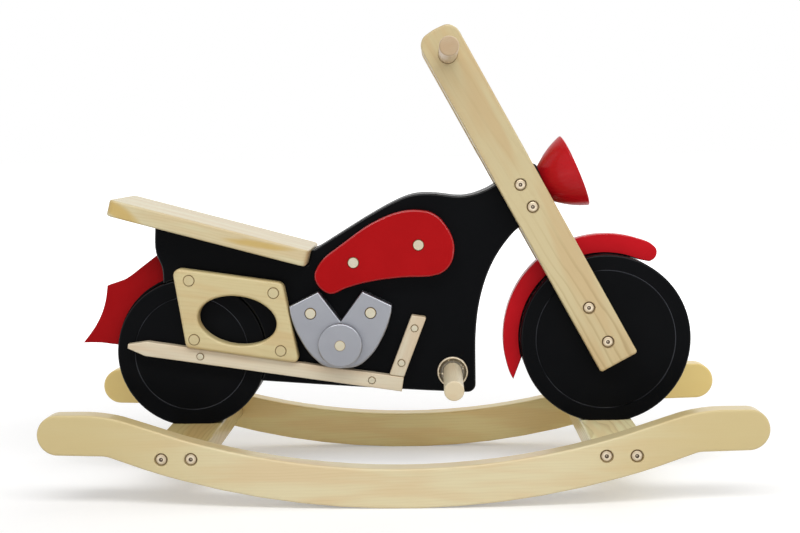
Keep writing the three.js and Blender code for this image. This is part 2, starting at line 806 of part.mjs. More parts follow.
function exhaustPipe() {
  const half = pipeHeight / 2;
  const tipHalf = pipeTaper.height / 2;
  const taperEnd = pipeTaper.length - pipeLength;
  const outline = trimOutline(pipeFront, [[-pipeLength, -tipHalf], [taperEnd, -half],
    [0, -half], [0, half], [taperEnd, half], [-pipeLength, tipHalf]]);
  return cutAway(board(outline, pipeThickness, smallEdgeRound), dowelBores(pipeDowels));
}

function shortStrip() {
  const corners = trimOutline(stripFoot, [[0, 0], [strip.width, 0],
    [strip.width + strip.lean, strip.height], [strip.lean, strip.height]]);
  const outline = roundedPolygon(corners, corners.map(() => [strip.radius, 1]));
  return cutAway(board(outline, pipeThickness, smallEdgeRound), dowelBores(stripDowels));
}

// Seat: its outline is drawn flat, then the plank is laid on the body's slope
function seatPlank() {
  const halfLength = seatLength / 2;
  const halfWidth = seatWidth / 2;
  const corners = [point(-halfLength, -halfWidth), point(halfLength, -halfWidth),
    point(halfLength, halfWidth), point(-halfLength, halfWidth)];
  const outline = roundedPolygon(corners, corners.map(() => [seatCornerRadius, seatCornerSteps]));
  const plank = board(outline, seatThickness, edgeRound);
  plank.rotateX(-quarterTurn);
  plank.rotateY(seatTilt);
  return geometryOf(solidOf(plank));
}

// Headlight: turned along Y, then laid along its own tilted axis

function alongHeadlight(geometry) {
  geometry.rotateZ(-quarterTurn);
  geometry.rotateY(-headlightTilt);
  geometry.translate(headlightRim.x, 0, headlightRim.z);
  return geometry;
}

// The dowel that seats the headlight, or with a clearance the bore for it
function spigotCylinder(clearance) {
  const radius = spigotRadius + clearance;
  const length = spigotLength + 2 * clearance;
  const cylinder = new THREE.CylinderGeometry(radius, radius, length, dowelSides);
  cylinder.translate(0, spigotInHeadlight - spigotLength / 2 - headlightDepth, 0);
  return alongHeadlight(cylinder);
}

function headlight() {
  const bell = bend(point(headlightBackRadius, -headlightDepth),
    point(headlightBelly.radius, -headlightBelly.behind),
    point(headlightRadius, -headlightRimRound), headlightRings);
  const shade = new THREE.LatheGeometry([
    point(0, -headlightDepth), ...bell, point(headlightRadius - headlightRimRound, 0),
    point(0, 0),
  ], headlightSides);
  return cutAway(alongHeadlight(shade), [spigotCylinder(fitGap)]);
}

// A washer about Y, on the face that it is seated on
function washer(side) {
  const hole = footPegRadius + fitGap;
  const rim = washerRadius - washerRimWidth;
  const ring = turned([
    point(hole, 0), point(washerRadius, 0), point(washerRadius, washerHeight),
    point(rim, washerHeight), point(hole, washerHeight - washerDish), point(hole, 0),
  ], footPegSides);
  if (side < 0) {
    ring.rotateX(2 * quarterTurn);
  }
  return ring;
}

// Assembly

const bike = new THREE.Group();
bike.name = 'rocking_motorcycle';

function place(name, geometry, material, x, y, z) {
  const mesh = new THREE.Mesh(geometry, material);
  mesh.name = name;
  mesh.position.set(x, y, z);
  bike.add(mesh);
}

// One of each pair on each side of the middle, against the given inner face
function placePair(name, make, material, x, z, innerFace, thickness) {
  [['left', 1], ['right', -1]].forEach(([label, side]) => {
    const y = side * (innerFace + thickness / 2);
    place(`${name}_${label}`, make(side), material, x, y, z);
  });
}

placePair('runner', runner, pine, 0, 0, runnerInnerFace, runnerThickness);
[['rear', rearCrossbarX], ['front', frontCrossbarX]].forEach(([label, x]) => {
  place(`crossbar_${label}`, crossbar(x), pine, 0, 0, 0);
  crossbarBolts(x).forEach((bolt, index) => {
    placePair(`runner_bolt_${label}_${index + 1}`, runnerBolt, steel, bolt.x, bolt.z,
      runnerInnerFace, 0);
  });
});

place('body_core', bodyCore(), blackPaint, 0, 0, 0);
placePair('body_side', sidePanel, blackPaint, 0, 0, coreThickness / 2, sideThickness);
placePair('rear_wheel_disc', (side) => wheelDisc(rearWheel, side, dowelBores(trimDowels)),
  blackPaint, rearWheel.x, rearWheel.z, coreThickness / 2, sideThickness);
place('rear_fender', rearFender(), redPaint, 0, 0, 0);
placePair('front_wheel_disc', (side) => wheelDisc(frontWheel, side, boltBores(wheelBolts)),
  blackPaint, frontWheel.x, frontWheel.z, coreThickness / 2, sideThickness);
place('front_wheel_core', frontWheelCore(), blackPaint, frontWheel.x, 0, frontWheel.z);
place('front_fender', frontFender(), redPaint, frontWheel.x, 0, frontWheel.z);

const seatMiddle = onSeat(-seatLength / 2, seatThickness / 2);
place('seat', seatPlank(), pine, seatMiddle.x, 0, seatMiddle.y);

placePair('fork_leg', forkLeg, pine, frontWheel.x, frontWheel.z, sideFace, legThickness);
[...wheelBolts, ...noseBolts].forEach((bolt) => {
  place(bolt.name, forkBolt(), steel, bolt.x, 0, bolt.z);
});
place('handlebar', roundBar(handlebarRadius, handlebarLength, barEndRound, handlebarSides),
  beech, handlebarPlace.x, 0, handlebarPlace.z);

placePair('tank', tank, redPaint, 0, 0, sideFace, tankThickness);
placePair('engine', engine, silverPaint, 0, 0, sideFace, engineThickness);
placePair('engine_case', engineCaseDisc, silverPaint, 0, 0, sideFace + engineThickness,
  engineCaseThickness);
placePair('window_board', ovalBoard, pine, 0, 0, sideFace, windowBoardThickness);
placePair('exhaust_pipe', exhaustPipe, pine, 0, 0, sideFace, pipeThickness);
placePair('strip', shortStrip, pine, 0, 0, sideFace, pipeThickness);
trimDowels.forEach((dowel) => {
  const bar = new THREE.CylinderGeometry(dowel.radius, dowel.radius, 2 * dowel.reach, dowelSides);
  place(dowel.name, geometryOf(solidOf(bar)), beech, dowel.x, 0, dowel.z);
});

place('foot_peg', roundBar(footPegRadius, footPegLength, barEndRound, footPegSides), pine,
  footPeg.x, 0, footPeg.z);
placePair('foot_peg_washer', washer, steel, footPeg.x, footPeg.z, sideFace, 0);

place('headlight', headlight(), redPaint, 0, 0, 0);
place('headlight_dowel', geometryOf(solidOf(spigotCylinder(0))), beech, 0, 0, 0);

export default bike;
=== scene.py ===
# %% [markdown]
# # A child's rocking motorcycle
# The toy is a sandwich of painted boards between two curved pine runners. It
# could be drawn afresh, but the CAD model already fixes every size and place. So
# each piece starts from its solid and gets smooth curves, sanded edges, grain,
# paint and metal. Nothing moves inside the toy, so all pieces ride on one body.

import json
import math
from collections import defaultdict

import bmesh
import bpy
from mathutils import Matrix, Vector
from mathutils.geometry import tessellate_polygon

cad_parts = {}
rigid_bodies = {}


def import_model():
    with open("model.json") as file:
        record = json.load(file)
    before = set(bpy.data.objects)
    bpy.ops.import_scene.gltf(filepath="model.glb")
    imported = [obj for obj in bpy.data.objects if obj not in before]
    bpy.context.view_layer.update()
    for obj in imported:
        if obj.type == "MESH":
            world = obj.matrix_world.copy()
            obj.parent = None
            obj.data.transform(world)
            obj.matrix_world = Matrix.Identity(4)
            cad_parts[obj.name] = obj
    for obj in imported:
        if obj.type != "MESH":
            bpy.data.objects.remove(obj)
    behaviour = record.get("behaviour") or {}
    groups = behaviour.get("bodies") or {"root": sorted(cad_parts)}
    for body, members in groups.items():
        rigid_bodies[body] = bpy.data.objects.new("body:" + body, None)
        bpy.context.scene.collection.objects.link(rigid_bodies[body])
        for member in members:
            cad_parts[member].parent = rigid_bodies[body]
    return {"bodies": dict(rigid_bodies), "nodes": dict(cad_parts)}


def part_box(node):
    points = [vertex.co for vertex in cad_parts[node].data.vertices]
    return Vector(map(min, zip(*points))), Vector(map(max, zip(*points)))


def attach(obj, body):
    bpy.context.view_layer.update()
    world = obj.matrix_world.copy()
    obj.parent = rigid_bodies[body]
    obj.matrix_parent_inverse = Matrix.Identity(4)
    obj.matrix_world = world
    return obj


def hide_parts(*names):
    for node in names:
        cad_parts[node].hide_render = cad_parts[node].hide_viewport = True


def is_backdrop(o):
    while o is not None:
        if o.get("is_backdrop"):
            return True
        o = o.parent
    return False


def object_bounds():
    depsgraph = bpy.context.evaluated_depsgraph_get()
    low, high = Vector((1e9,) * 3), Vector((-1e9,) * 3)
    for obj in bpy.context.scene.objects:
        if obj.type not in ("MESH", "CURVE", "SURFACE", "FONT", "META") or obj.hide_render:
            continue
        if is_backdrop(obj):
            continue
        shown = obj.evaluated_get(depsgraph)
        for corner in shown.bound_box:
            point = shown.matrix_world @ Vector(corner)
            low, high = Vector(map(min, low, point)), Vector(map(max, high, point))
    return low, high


MM = 0.001
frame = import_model()
solids = frame["nodes"]
body, = frame["bodies"]
cad_box = [list(corner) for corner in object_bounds()]
print(len(solids), "solids on body", body)

# %% [markdown]
# ## The camera
# The photograph was taken from the toy's right, a little above the seat and a
# touch off level. A camera could be aimed and nudged until the picture fits.
# Here lens, place and angles were worked out from the wheels' circles and the
# ends of the runners.

# %% The camera
PICTURE_WIDTH = 800
FOCAL_PIXELS = 1169.62
SENSOR_WIDTH = 36
CAMERA_PLACE = Vector((40.518, -1354.858, 387.99)) * MM
YAW, PITCH, ROLL = -0.031, 0.1046, -0.0161


def put(name, data):
    """A new object in the scene."""
    made = bpy.data.objects.new(name, data)
    bpy.context.collection.objects.link(made)
    return made


camera_data = bpy.data.cameras.new("camera")
camera_data.sensor_width = SENSOR_WIDTH
camera_data.lens = SENSOR_WIDTH * FOCAL_PIXELS / PICTURE_WIDTH
camera = put("camera", camera_data)

ahead = Vector((math.sin(YAW) * math.cos(PITCH),
                math.cos(YAW) * math.cos(PITCH),
                -math.sin(PITCH)))
level = Vector((math.cos(YAW), -math.sin(YAW), 0))
upward = level.cross(ahead)
right = math.cos(ROLL) * level + math.sin(ROLL) * upward
top = math.cos(ROLL) * upward - math.sin(ROLL) * level
turn = Matrix((right, top, -ahead)).transposed().to_4x4()
camera.matrix_world = Matrix.Translation(CAMERA_PLACE) @ turn
bpy.context.scene.camera = camera
print("lens", round(camera_data.lens, 2), "mm, looking", [round(v, 3) for v in ahead])

# %% [markdown]
# ## Shader maths
# A finish is a small sum over places on the wood. Its nodes could be added one
# by one, but that is hard to read. So one class wraps a socket and lets Python's
# own operators add the Math nodes. Every other node comes from its method `node`.

# %% A socket that can be added and multiplied
MIX_SHARE, MIX_FIRST, MIX_SECOND, MIX_RESULT = 0, 6, 7, 2  # a Mix node's colour sockets


class Field:
    """A value that changes over a surface."""

    def __init__(self, socket):
        self.socket = socket

    def node(self, kind, settings=None, sockets=None, output=0):
        """Adds a node to the same tree and gives one of its outputs."""
        tree = self.socket.id_data
        made = tree.nodes.new(kind)
        for name, value in (settings or {}).items():
            setattr(made, name, value)
        for name, value in (sockets or {}).items():
            if isinstance(value, Field):
                tree.links.new(value.socket, made.inputs[name])
            else:
                made.inputs[name].default_value = value
        return Field(made.outputs[output])

    def maths(self, operation, first, second=0.0, clamp=False):
        settings = {"operation": operation, "use_clamp": clamp}
        return self.node("ShaderNodeMath", settings, {0: first, 1: second})

    def __add__(self, other):
        return self.maths("ADD", self, other)

    def __sub__(self, other):
        return self.maths("SUBTRACT", self, other)

    def __rsub__(self, other):
        return self.maths("SUBTRACT", other, self)

    def __mul__(self, other):
        return self.maths("MULTIPLY", self, other)

    def __truediv__(self, other):
        return self.maths("DIVIDE", self, other)

    def __rtruediv__(self, other):
        return self.maths("DIVIDE", other, self)

    __radd__ = __add__
    __rmul__ = __mul__

    def size(self):
        """The value without its sign."""
        return self.maths("ABSOLUTE", self)

    def fraction(self):
        return self.maths("FRACT", self)

    def to_and_fro(self, reach):
        """Rises from 0 to the reach and falls back, again and again."""
        return self.maths("PINGPONG", self, reach)

    def clamped(self):
        return self.maths("ADD", self, 0.0, clamp=True)

    def step(self, start, end):
        """0 below start, 1 above end, and a smooth rise between them."""
        return self.node("ShaderNodeMapRange", {"interpolation_type": "SMOOTHSTEP"},
                         {"Value": self, "From Min": start, "From Max": end})

    def vector_maths(self, operation, other=(0, 0, 0), output=0):
        return self.node("ShaderNodeVectorMath", {"operation": operation},
                         {0: self, 1: other}, output)

    def length(self):
        return self.vector_maths("LENGTH", output="Value")

    def dot(self, direction):
        return self.vector_maths("DOT_PRODUCT", direction, "Value")

    def noise(self, scale=1.0, detail=2.0, roughness=0.5):
        return self.node("ShaderNodeTexNoise", {}, {"Vector": self, "Scale": scale,
                                                    "Detail": detail, "Roughness": roughness})

    def mix(self, first, second):
        """From the first colour, at 0, to the second, at 1."""
        return self.node("ShaderNodeMix", {"data_type": "RGBA"},
                         {MIX_SHARE: self, MIX_FIRST: first, MIX_SECOND: second}, MIX_RESULT)


print("a field has", len(vars(Field)), "members")

# %% [markdown]
# ## A new finish
# Every finish needs the place on the piece and the direction that the surface
# faces. A UV map could give the place, but boards have no seams to unwrap at.
# Object coordinates give both, as a CAD piece has its place in its mesh, and
# they don't change when the view does.

# %% Start and end of a finish
X_WAY, Y_WAY, Z_WAY = Matrix.Identity(3)


def new_finish(name):
    """A material, its place in millimetres and the direction of its surface."""
    material = bpy.data.materials.new(name)
    material.use_nodes = True
    start = Field(material.node_tree.nodes["Principled BSDF"].outputs["BSDF"])
    metres = start.node("ShaderNodeTexCoord", output="Object")
    facing = start.node("ShaderNodeTexCoord", output="Normal")
    place = metres.node("ShaderNodeVectorMath", {"operation": "SCALE"},
                        {"Vector": metres, "Scale": 1 / MM})
    return material, place, facing


def set_finish(material, constants, **fields):
    """Sets constants on the shader's sockets, and links what changes over the surface."""
    tree = material.node_tree
    shader = tree.nodes["Principled BSDF"]
    for name, value in constants.items():
        shader.inputs[name].default_value = value
    for name, field in fields.items():
        tree.links.new(field.socket, shader.inputs[name.replace("_", " ")])
    return material


print("one metre is", round(1 / MM), "mm in a finish")


# %% Colours, vectors and bumps
KNEE, SLOPE, SHIFT, POWER = 0.04045, 12.92, 0.055, 2.4


def linear(red, green, blue):
    """A screen colour, 0 to 255, in the numbers that light is worked out in."""
    shares = [value / 255 for value in (red, green, blue)]
    return tuple(share / SLOPE if share < KNEE else ((share + SHIFT) / (1 + SHIFT)) ** POWER
                 for share in shares) + (1.0,)


def vector(x, y, z):
    return x.node("ShaderNodeCombineXYZ", {}, {0: x, 1: y, 2: z})


def bumped(height, depth):
    """A normal from a height field. The depth is in millimetres."""
    sockets = {"Height": height, "Strength": 1.0, "Distance": depth * MM}
    return height.node("ShaderNodeBump", {}, sockets, "Normal")


def from_line(place, along, point):
    """The distance from a line through a point."""
    away = place.vector_maths("SUBTRACT", point)
    return away.vector_maths("CROSS_PRODUCT", along).length()


print("mid grey, 128 on a screen, is", round(linear(128, 128, 128)[0], 3))

# %% [markdown]
# ## Pine and beech
# Boards show growth rings as lines on their faces and as arcs on their ends. A
# stretched noise could give the faces, but not the ends that go with them. So
# the rings are tubes round a pith line that runs along the grain, outside the
# board. The distance from it, bent by noise, says where in a ring a point is.

# %% The kinds of wood
PINE = {"pale": linear(228, 213, 172), "warm": linear(224, 200, 156),
        "late": linear(176, 146, 92), "ring": 3.4, "summer": 0.4, "end": 0.35}
WIDE_PINE = dict(PINE, ring=7.0, summer=0.62)
BEECH = {"pale": linear(226, 209, 180), "warm": linear(222, 200, 168),
         "late": linear(186, 158, 122), "ring": 1.5, "summer": 0.4, "end": 0.45}
WHITE = (1.0, 1.0, 1.0)


def toned(colour, tone):
    """A colour, with each channel times that of the tone."""
    return tuple(channel * share for channel, share in zip(colour, tone)) + (1.0,)


print("a ring of pine is", PINE["ring"], "mm wide, one of beech", BEECH["ring"], "mm")

# %% Rings
RING_BEND, RING_TREMBLE = 16, 2
PITH_DRIFT = (0.02, 0.03)
WINTER = 0.88


def grain_ways(along):
    """Unit directions along, across and through the grain."""
    along = Vector(along).normalized()
    across = along.orthogonal().normalized()
    return along, across, along.cross(across)


def drawn_out(spread, along_scale, across_scale):
    """A place for noise that is long in the direction of the grain."""
    run, side, deep = spread
    return vector(run * along_scale, side * across_scale, deep * across_scale)


def ring_count(place, ways, bend, pith, width):
    """The rings between the pith and a place. The pith drifts from the grain a little."""
    along, across, through = ways
    drifting = (along + across * PITH_DRIFT[0] + through * PITH_DRIFT[1]).normalized()
    return (from_line(place, drifting, pith) + bend) / width


def late_wood(rings, summer):
    """1 in the dark line that ends each year's ring, which starts at a share of the year."""
    year = rings.fraction()
    return year.step(summer, WINTER) * (1 - year.step(WINTER, 1.0))


print("rings wander by", RING_BEND / 2, "mm to each side")

# %% [markdown]
# Where a saw cuts steeply through the rings, a board shows a warm flame. Bent
# rings could make one, but are hard to steer, so a flame is a soft ellipse along
# the grain. The runners are darker and yellower towards their ends than in their
# middle, and a plug has a dark line of glue round it.

# %% Flames, age and glue
FLAME = linear(214, 178, 100)
FLAME_DEPTH, FLAME_STRENGTH, FLAME_TREMBLE = 12, 0.9, 4
FLAME_EDGE = (0.1, 1.0)
END_COLOUR = linear(208, 186, 130)
END_COLOUR_REACH = (120, 360)
GLUE = linear(142, 116, 74)
GLUE_LINE = (0.75, 0.35)


def flame_at(place, along, tremble, middle_place, length, height, slant):
    """1 in the middle of a flame and 0 outside it."""
    away = place.vector_maths("SUBTRACT", middle_place)
    flow = away.dot(along) / length
    rise = (away.dot(along.cross(Y_WAY)) + tremble * FLAME_TREMBLE) / height + flow * slant
    depth = away.dot(Y_WAY) / FLAME_DEPTH
    return 1 - (flow * flow + rise * rise + depth * depth).step(*FLAME_EDGE)


# Darker and yellower towards the ends of a runner.
def coloured_ends(place, colour, tone, share):
    ends = place.dot(X_WAY).size().step(*END_COLOUR_REACH) * share
    return ends.mix(colour, toned(END_COLOUR, tone))


def glue_ring(place, along, colour, centre, radius):
    outer, inner = GLUE_LINE
    return from_line(place, along, centre).step(radius - outer, radius - inner).mix(colour, GLUE)


print("glue line", round(GLUE_LINE[0] - GLUE_LINE[1], 2), "mm wide")

# %% [markdown]
# The wood puts these together. A picture of a board could be laid over a piece,
# but its ends would not go with its faces. Here one rule holds for both, and each
# board gets its own grain, pith and tone. End grain is darker and porous.

# %% Wood, along its own grain
FIGURE_SHADE, FIBRE_SHADE = 0.5, 0.28
LOW_FIGURE = (150, 340)
END_FACING = (0.6, 0.85)
GRAIN_DEPTH = 0.05


def wood(name, kind, along, pith, figure=1.0, tone=WHITE, wander=1.0, low_figure=0.0,
         flames=(), glue=None, end_share=0.0, lacquer=0.35):
    """The pith is a point on the rings' middle line. The figure is how strong rings show."""
    material, place, facing = new_finish(name)
    ways = grain_ways(along)
    along = ways[0]
    spread = [place.dot(way) for way in ways]
    slow = drawn_out(spread, 0.006, 0.02).noise() - 0.5
    quick = drawn_out(spread, 0.03, 0.1).noise() - 0.5
    bend = slow * RING_BEND * wander + quick * RING_TREMBLE
    rings = ring_count(place, ways, bend, pith, kind["ring"])
    late = late_wood(rings, kind["summer"])
    wet_years = vector(rings * 0.37, 0.0, 0.0).noise() * 1.2
    fibre = drawn_out(spread, 0.02, 1.3).noise(detail=3.0, roughness=0.6)
    patch = drawn_out(spread, 0.007, 0.05).noise().step(0.4, 0.62)
    pores = drawn_out(spread, 1.0, 2.2).noise(detail=3.0, roughness=0.7)
    end_grain = facing.dot(along).size().step(*END_FACING)
    dark = toned(kind["late"], tone)

    strength = FIGURE_SHADE * figure
    if low_figure:
        low = 1 - place.dot(Z_WAY).step(*LOW_FIGURE)
        strength = low * FIGURE_SHADE * low_figure + strength
    colour = patch.mix(toned(kind["pale"], tone), toned(kind["warm"], tone))
    grain = late * wet_years * strength + (fibre - 0.5) * FIBRE_SHADE
    colour = grain.clamped().mix(colour, dark)
    for flame in flames:
        lick = flame_at(place, along, quick, *flame)
        colour = (lick * FLAME_STRENGTH).mix(colour, toned(FLAME, tone))
    if end_share:
        colour = coloured_ends(place, colour, tone, end_share)
    colour = (end_grain * (pores * 0.5 + 0.75) * kind["end"]).clamped().mix(colour, dark)
    if glue:
        colour = glue_ring(place, along, colour, *glue)
    rough = fibre * 0.16 + 0.3 + end_grain * 0.2
    height = fibre * 0.6 - late * 0.4 + end_grain * pores * 0.6
    constants = {"Specular IOR Level": 0.4, "Coat Weight": lacquer, "Coat Roughness": 0.2}
    return set_finish(material, constants, Base_Color=colour, Roughness=rough,
                      Normal=bumped(height, GRAIN_DEPTH))


print("a low figure is gone at", LOW_FIGURE[1], "mm above the floor")

# %% [markdown]
# ## Paint
# Black and red paint are sprayed on sanded plywood. One flat colour would be
# quick, but paint on wood is never even. Faces have faint dimples, and sawn edges
# show the plies as fine lines, because end grain drinks the paint. A thin black
# band follows each wheel's edge on the red. The routed groove of a wheel has a
# painted highlight: a lighter line in the paint's colour.

# %% Colours, wheels and edges
BLACK = linear(10, 11, 13)
RED = linear(166, 16, 20)
FENDER_RED = linear(189, 20, 30)
REAR_RED = linear(154, 15, 19)
PAINTED_GLINT = linear(80, 82, 88)
# Each wheel: X and Z of its centre, its radius, and its groove's radius
WHEELS = {"front": (233.5, 161.6, 97.0, 79.5), "rear": (-243.5, 150.5, 86.5, 66.0)}
BANDS = {"front": 1.7, "rear": 3.4}
BAND_RAGGED, BAND_SOFT = 0.8, 0.3
PAINTED_GLINT_EDGE, PAINTED_GLINT_STRENGTH = (0.2, 0.8), 0.7


def rounded_edge(facing):
    """1 on the rounding of a board's edge and on its wall, 0 on its faces."""
    return 1 - facing.dot(Y_WAY).size().step(0.9, 0.98)


# A thin black band on the red, a little past the wheel's edge.
def wheel_band(place, shown, wheel):
    x, z, radius, _ = WHEELS[wheel]
    ragged = (place.noise(0.2) - 0.5) * BAND_RAGGED
    past = from_line(place, Y_WAY, (x, 0, z)) + ragged - radius - BANDS[wheel]
    return past.step(-BAND_SOFT, BAND_SOFT).mix(BLACK, shown)


# A painted highlight: lighter colour in broken stretches along the groove.
def painted_groove_glint(place, shown, wheel):
    x, z, _, radius = WHEELS[wheel]
    off = (from_line(place, Y_WAY, (x, 0, z)) - radius).size()
    glint = (1 - off.step(*PAINTED_GLINT_EDGE)) * place.noise(0.02, 1.0).step(0.35, 0.6)
    return (glint * PAINTED_GLINT_STRENGTH).mix(shown, PAINTED_GLINT)


print("black bands of", BANDS, "mm on the fenders")

# %% Paint on plywood
PLY = 1.8
WALL_FACING = (0.25, 0.6)
PLY_FIBRES = (0.5, 3.0, 0.5)
LIGHTER = 1.4
LEAST_LIGHT = 0.003
PAINT_DEPTH = 0.04


def paint(name, colour, roughness, gloss, edge_gloss, fender=None, groove=None):
    """The fender and the groove name the wheel that a fender follows or that has the groove."""
    material, place, facing = new_finish(name)
    wall = 1 - facing.dot(Y_WAY).size().step(*WALL_FACING)
    plies = (place.dot(Y_WAY) / PLY).to_and_fro(0.5)
    fibres = place.vector_maths("MULTIPLY", PLY_FIBRES).noise(detail=3.0, roughness=0.6)
    dimples = place.noise(0.9, 2.0, 0.4)
    clouds = place.noise(0.02, 3.0)
    lighter = [min(channel * LIGHTER + LEAST_LIGHT, 1.0) for channel in colour[:3]] + [1.0]
    shown = (clouds.step(0.3, 0.8) * 0.25 + wall * fibres * 0.3).mix(colour, lighter)
    if fender:
        shown = wheel_band(place, shown, fender)
    if groove:
        shown = painted_groove_glint(place, shown, groove)
    rough = clouds * 0.1 + roughness - 0.05 + wall * fibres * 0.15
    height = dimples * 0.25 + wall * (plies.step(0.1, 0.3) * 0.5 + fibres * 0.8)
    constants = {"Specular IOR Level": gloss, "Coat Roughness": 0.15}
    return set_finish(material, constants, Base_Color=shown, Roughness=rough,
                      Coat_Weight=rounded_edge(facing) * edge_gloss,
                      Normal=bumped(height, PAINT_DEPTH))


print("plies of", PLY, "mm show on the edges")

# %% [markdown]
# ## Silver paint and plated steel
# The silver is paint with metal flakes. As full metal it would mirror the room,
# so it is half metal: grey by itself, with small glints. The bolts and washers
# are plated steel, turned or pressed, so their fine lines run round their axis.
# A bolt's socket, the outer slope and rim of its head, and a washer's dish have
# painted shade, darker colour where little light gets in, and the socket's
# centre has a painted highlight.

# %% Silver paint
SILVER_DARK, SILVER_LIGHT = linear(138, 140, 148), linear(164, 166, 172)
FLAT_METAL, EDGE_METAL = 0.3, 0.6
FLAKE_DEPTH = 0.03


def silver_paint(name):
    material, place, facing = new_finish(name)
    flakes = place.noise(2.4, 2.0, 0.6)
    clouds = place.noise(0.03)
    rounding = rounded_edge(facing)
    shown = (clouds * 0.5 + flakes * 0.4).clamped().mix(SILVER_DARK, SILVER_LIGHT)
    height = flakes * 0.4 + place.noise(0.8) * 0.5
    constants = {"Specular IOR Level": 0.4, "Coat Roughness": 0.15}
    return set_finish(material, constants, Base_Color=shown, Roughness=flakes * 0.12 + 0.28,
                      Metallic=rounding * EDGE_METAL + FLAT_METAL, Coat_Weight=rounding,
                      Normal=bumped(height, FLAKE_DEPTH))


silver = silver_paint("silver_paint")
print("silver has", len(silver.node_tree.nodes), "nodes")

# %% Plated steel
STEEL_PALE, STEEL_DULL = linear(222, 208, 184), linear(196, 180, 154)
STEEL_SHOULDER_SHADE, STEEL_SOCKET_SHADE = linear(176, 156, 126), linear(92, 78, 66)
STEEL_RIM_SHADOW, STEEL_DISH_SHADE = linear(128, 106, 78), linear(84, 80, 72)
PAINTED_CENTRE_HIGHLIGHT, SOCKET_WALL = (0.5, 0.8), (2.1, 2.4)
HEAD_SHOULDER, HEAD_SLOPE = (3.4, 4.4), (4.8, 6.3)
DISH_WALL = (15.4, 16.4)
LATHE_LINES, LATHE_DEPTH = 5, 0.02


def plated(name, centre, socket=True):
    """The fine lines run round the axis through the centre, along Y."""
    material, place, facing = new_finish(name)
    axis_place = (centre.x / MM, 0, centre.z / MM)
    reach = from_line(place, Y_WAY, axis_place)
    lines = vector(reach * LATHE_LINES, place.dot(Y_WAY) * LATHE_LINES, 0.0).noise()
    dull = place.noise(0.35, 3.0, 0.6)
    shown = dull.step(0.35, 0.75).mix(STEEL_PALE, STEEL_DULL)
    # Painted shade on the head's outer slope, rim and socket; a painted highlight at its centre.
    if socket:
        shown = (1 - reach.step(*HEAD_SHOULDER) * 0.45).mix(STEEL_SHOULDER_SHADE, shown)
        socket_shade = reach.step(*PAINTED_CENTRE_HIGHLIGHT) * (1 - reach.step(*SOCKET_WALL))
        shown = socket_shade.mix(shown, STEEL_SOCKET_SHADE)
        shown = reach.step(*HEAD_SLOPE).mix(shown, STEEL_RIM_SHADOW)
    else:
        # Painted shade in the washer's dish, with gaps in patches.
        gaps_in_shade = place.noise(0.3, 1.0).step(0.6, 0.7)
        dish_shade = (1 - reach.step(*DISH_WALL)) * (1 - gaps_in_shade)
        shown = (dish_shade * 0.85).mix(shown, STEEL_DISH_SHADE)
    rough = lines * 0.16 + dull * 0.14 + 0.2
    return set_finish(material, {"Metallic": 0.7, "Specular IOR Level": 0.5},
                      Base_Color=shown, Roughness=rough, Normal=bumped(lines, LATHE_DEPTH))


print("a bolt's socket is dark from", PAINTED_CENTRE_HIGHLIGHT[1], "to", SOCKET_WALL[0], "mm from its axis")

# %% [markdown]
# ## Smooth outlines from the solids
# The CAD boards have many small straight sides where the real ones are curved.
# The curves could be drawn again, but two drawings soon disagree, so they are
# read back from the solids. A wall meets a face or a bevel along a rim, and the
# rims at one height, joined end to end, are the outline and the holes.

# %% Read the rims of a board
WELD = 0.01 * MM
LEVEL = 0.02 * MM
WALL = 0.02


def rim_edges(mesh):
    """For each point of a rim, the points it is joined to."""
    joined = defaultdict(list)
    for edge in mesh.edges:
        first, second = edge.verts
        walls = [abs(face.normal.z) < WALL for face in edge.link_faces]
        if len(walls) == 2 and walls[0] != walls[1] and abs(first.co.z - second.co.z) < LEVEL:
            joined[first].append(second)
            joined[second].append(first)
    return joined


def next_rim(joined):
    """Takes one rim out of the joined points, from an open end if there is one."""
    ends = [vert for vert, ways in joined.items() if len(ways) == 1]
    here = ends[0] if ends else next(iter(joined))
    last = None
    rim = []
    while here in joined:
        rim.append(here.co.copy())
        onward = [vert for vert in joined.pop(here) if vert is not last and vert in joined]
        last = here
        here = onward[0] if onward else None
    return rim


def rims_of(solid, plane):
    """Each rim of a board: its height above the board's middle plane, and its points."""
    mesh = bmesh.new()
    mesh.from_mesh(solid.data)
    mesh.transform(plane.inverted())
    bmesh.ops.remove_doubles(mesh, verts=mesh.verts, dist=WELD)
    mesh.normal_update()
    joined = rim_edges(mesh)
    rims = []
    while joined:
        rim = next_rim(joined)
        height = sum(point.z for point in rim) / len(rim)
        rims.append((height, [point.to_2d() for point in rim]))
    mesh.free()
    return rims


UPRIGHT = Matrix(((1, 0, 0, 0), (0, 0, -1, 0), (0, 1, 0, 0), (0, 0, 0, 1)))
print("the window board has", len(rims_of(solids["window_board_right"], UPRIGHT)), "rims")

# %% [markdown]
# A subdivision surface could smooth an outline, but would round its straight
# sides and corners too. Here a side much longer than its neighbour was straight
# on the real board, and a turn of more than about 45 degrees was a corner. All
# else was a curve, and Hermite curves go through its points again.

# %% Which sides are straight
SHARP = math.radians(48)
SLIGHT = math.radians(3)
LONGER = 2.2
ALIKE = 1.5


def straight_sides(lengths, turns):
    """A side that ends at a turn beside a much shorter one, or lies between two corners."""
    straight = []
    for i, length in enumerate(lengths):
        on = (i + 1) % len(lengths)
        ends = [(turns[i], length / lengths[i - 1]), (turns[on], length / lengths[on])]
        ended = any(turn > SLIGHT and ratio > LONGER for turn, ratio in ends)
        goes_on = any(SLIGHT < turn < SHARP and 1 / ALIKE < ratio < ALIKE
                      for turn, ratio in ends)
        between = min(turns[i], turns[on]) > SHARP
        straight.append((ended and not goes_on) or between)
    return straight


square = [1.0] * 4
print("straight sides of a square:", sum(straight_sides(square, [math.pi / 2] * 4)))

# %% Smooth a rim
FINE = math.radians(3)


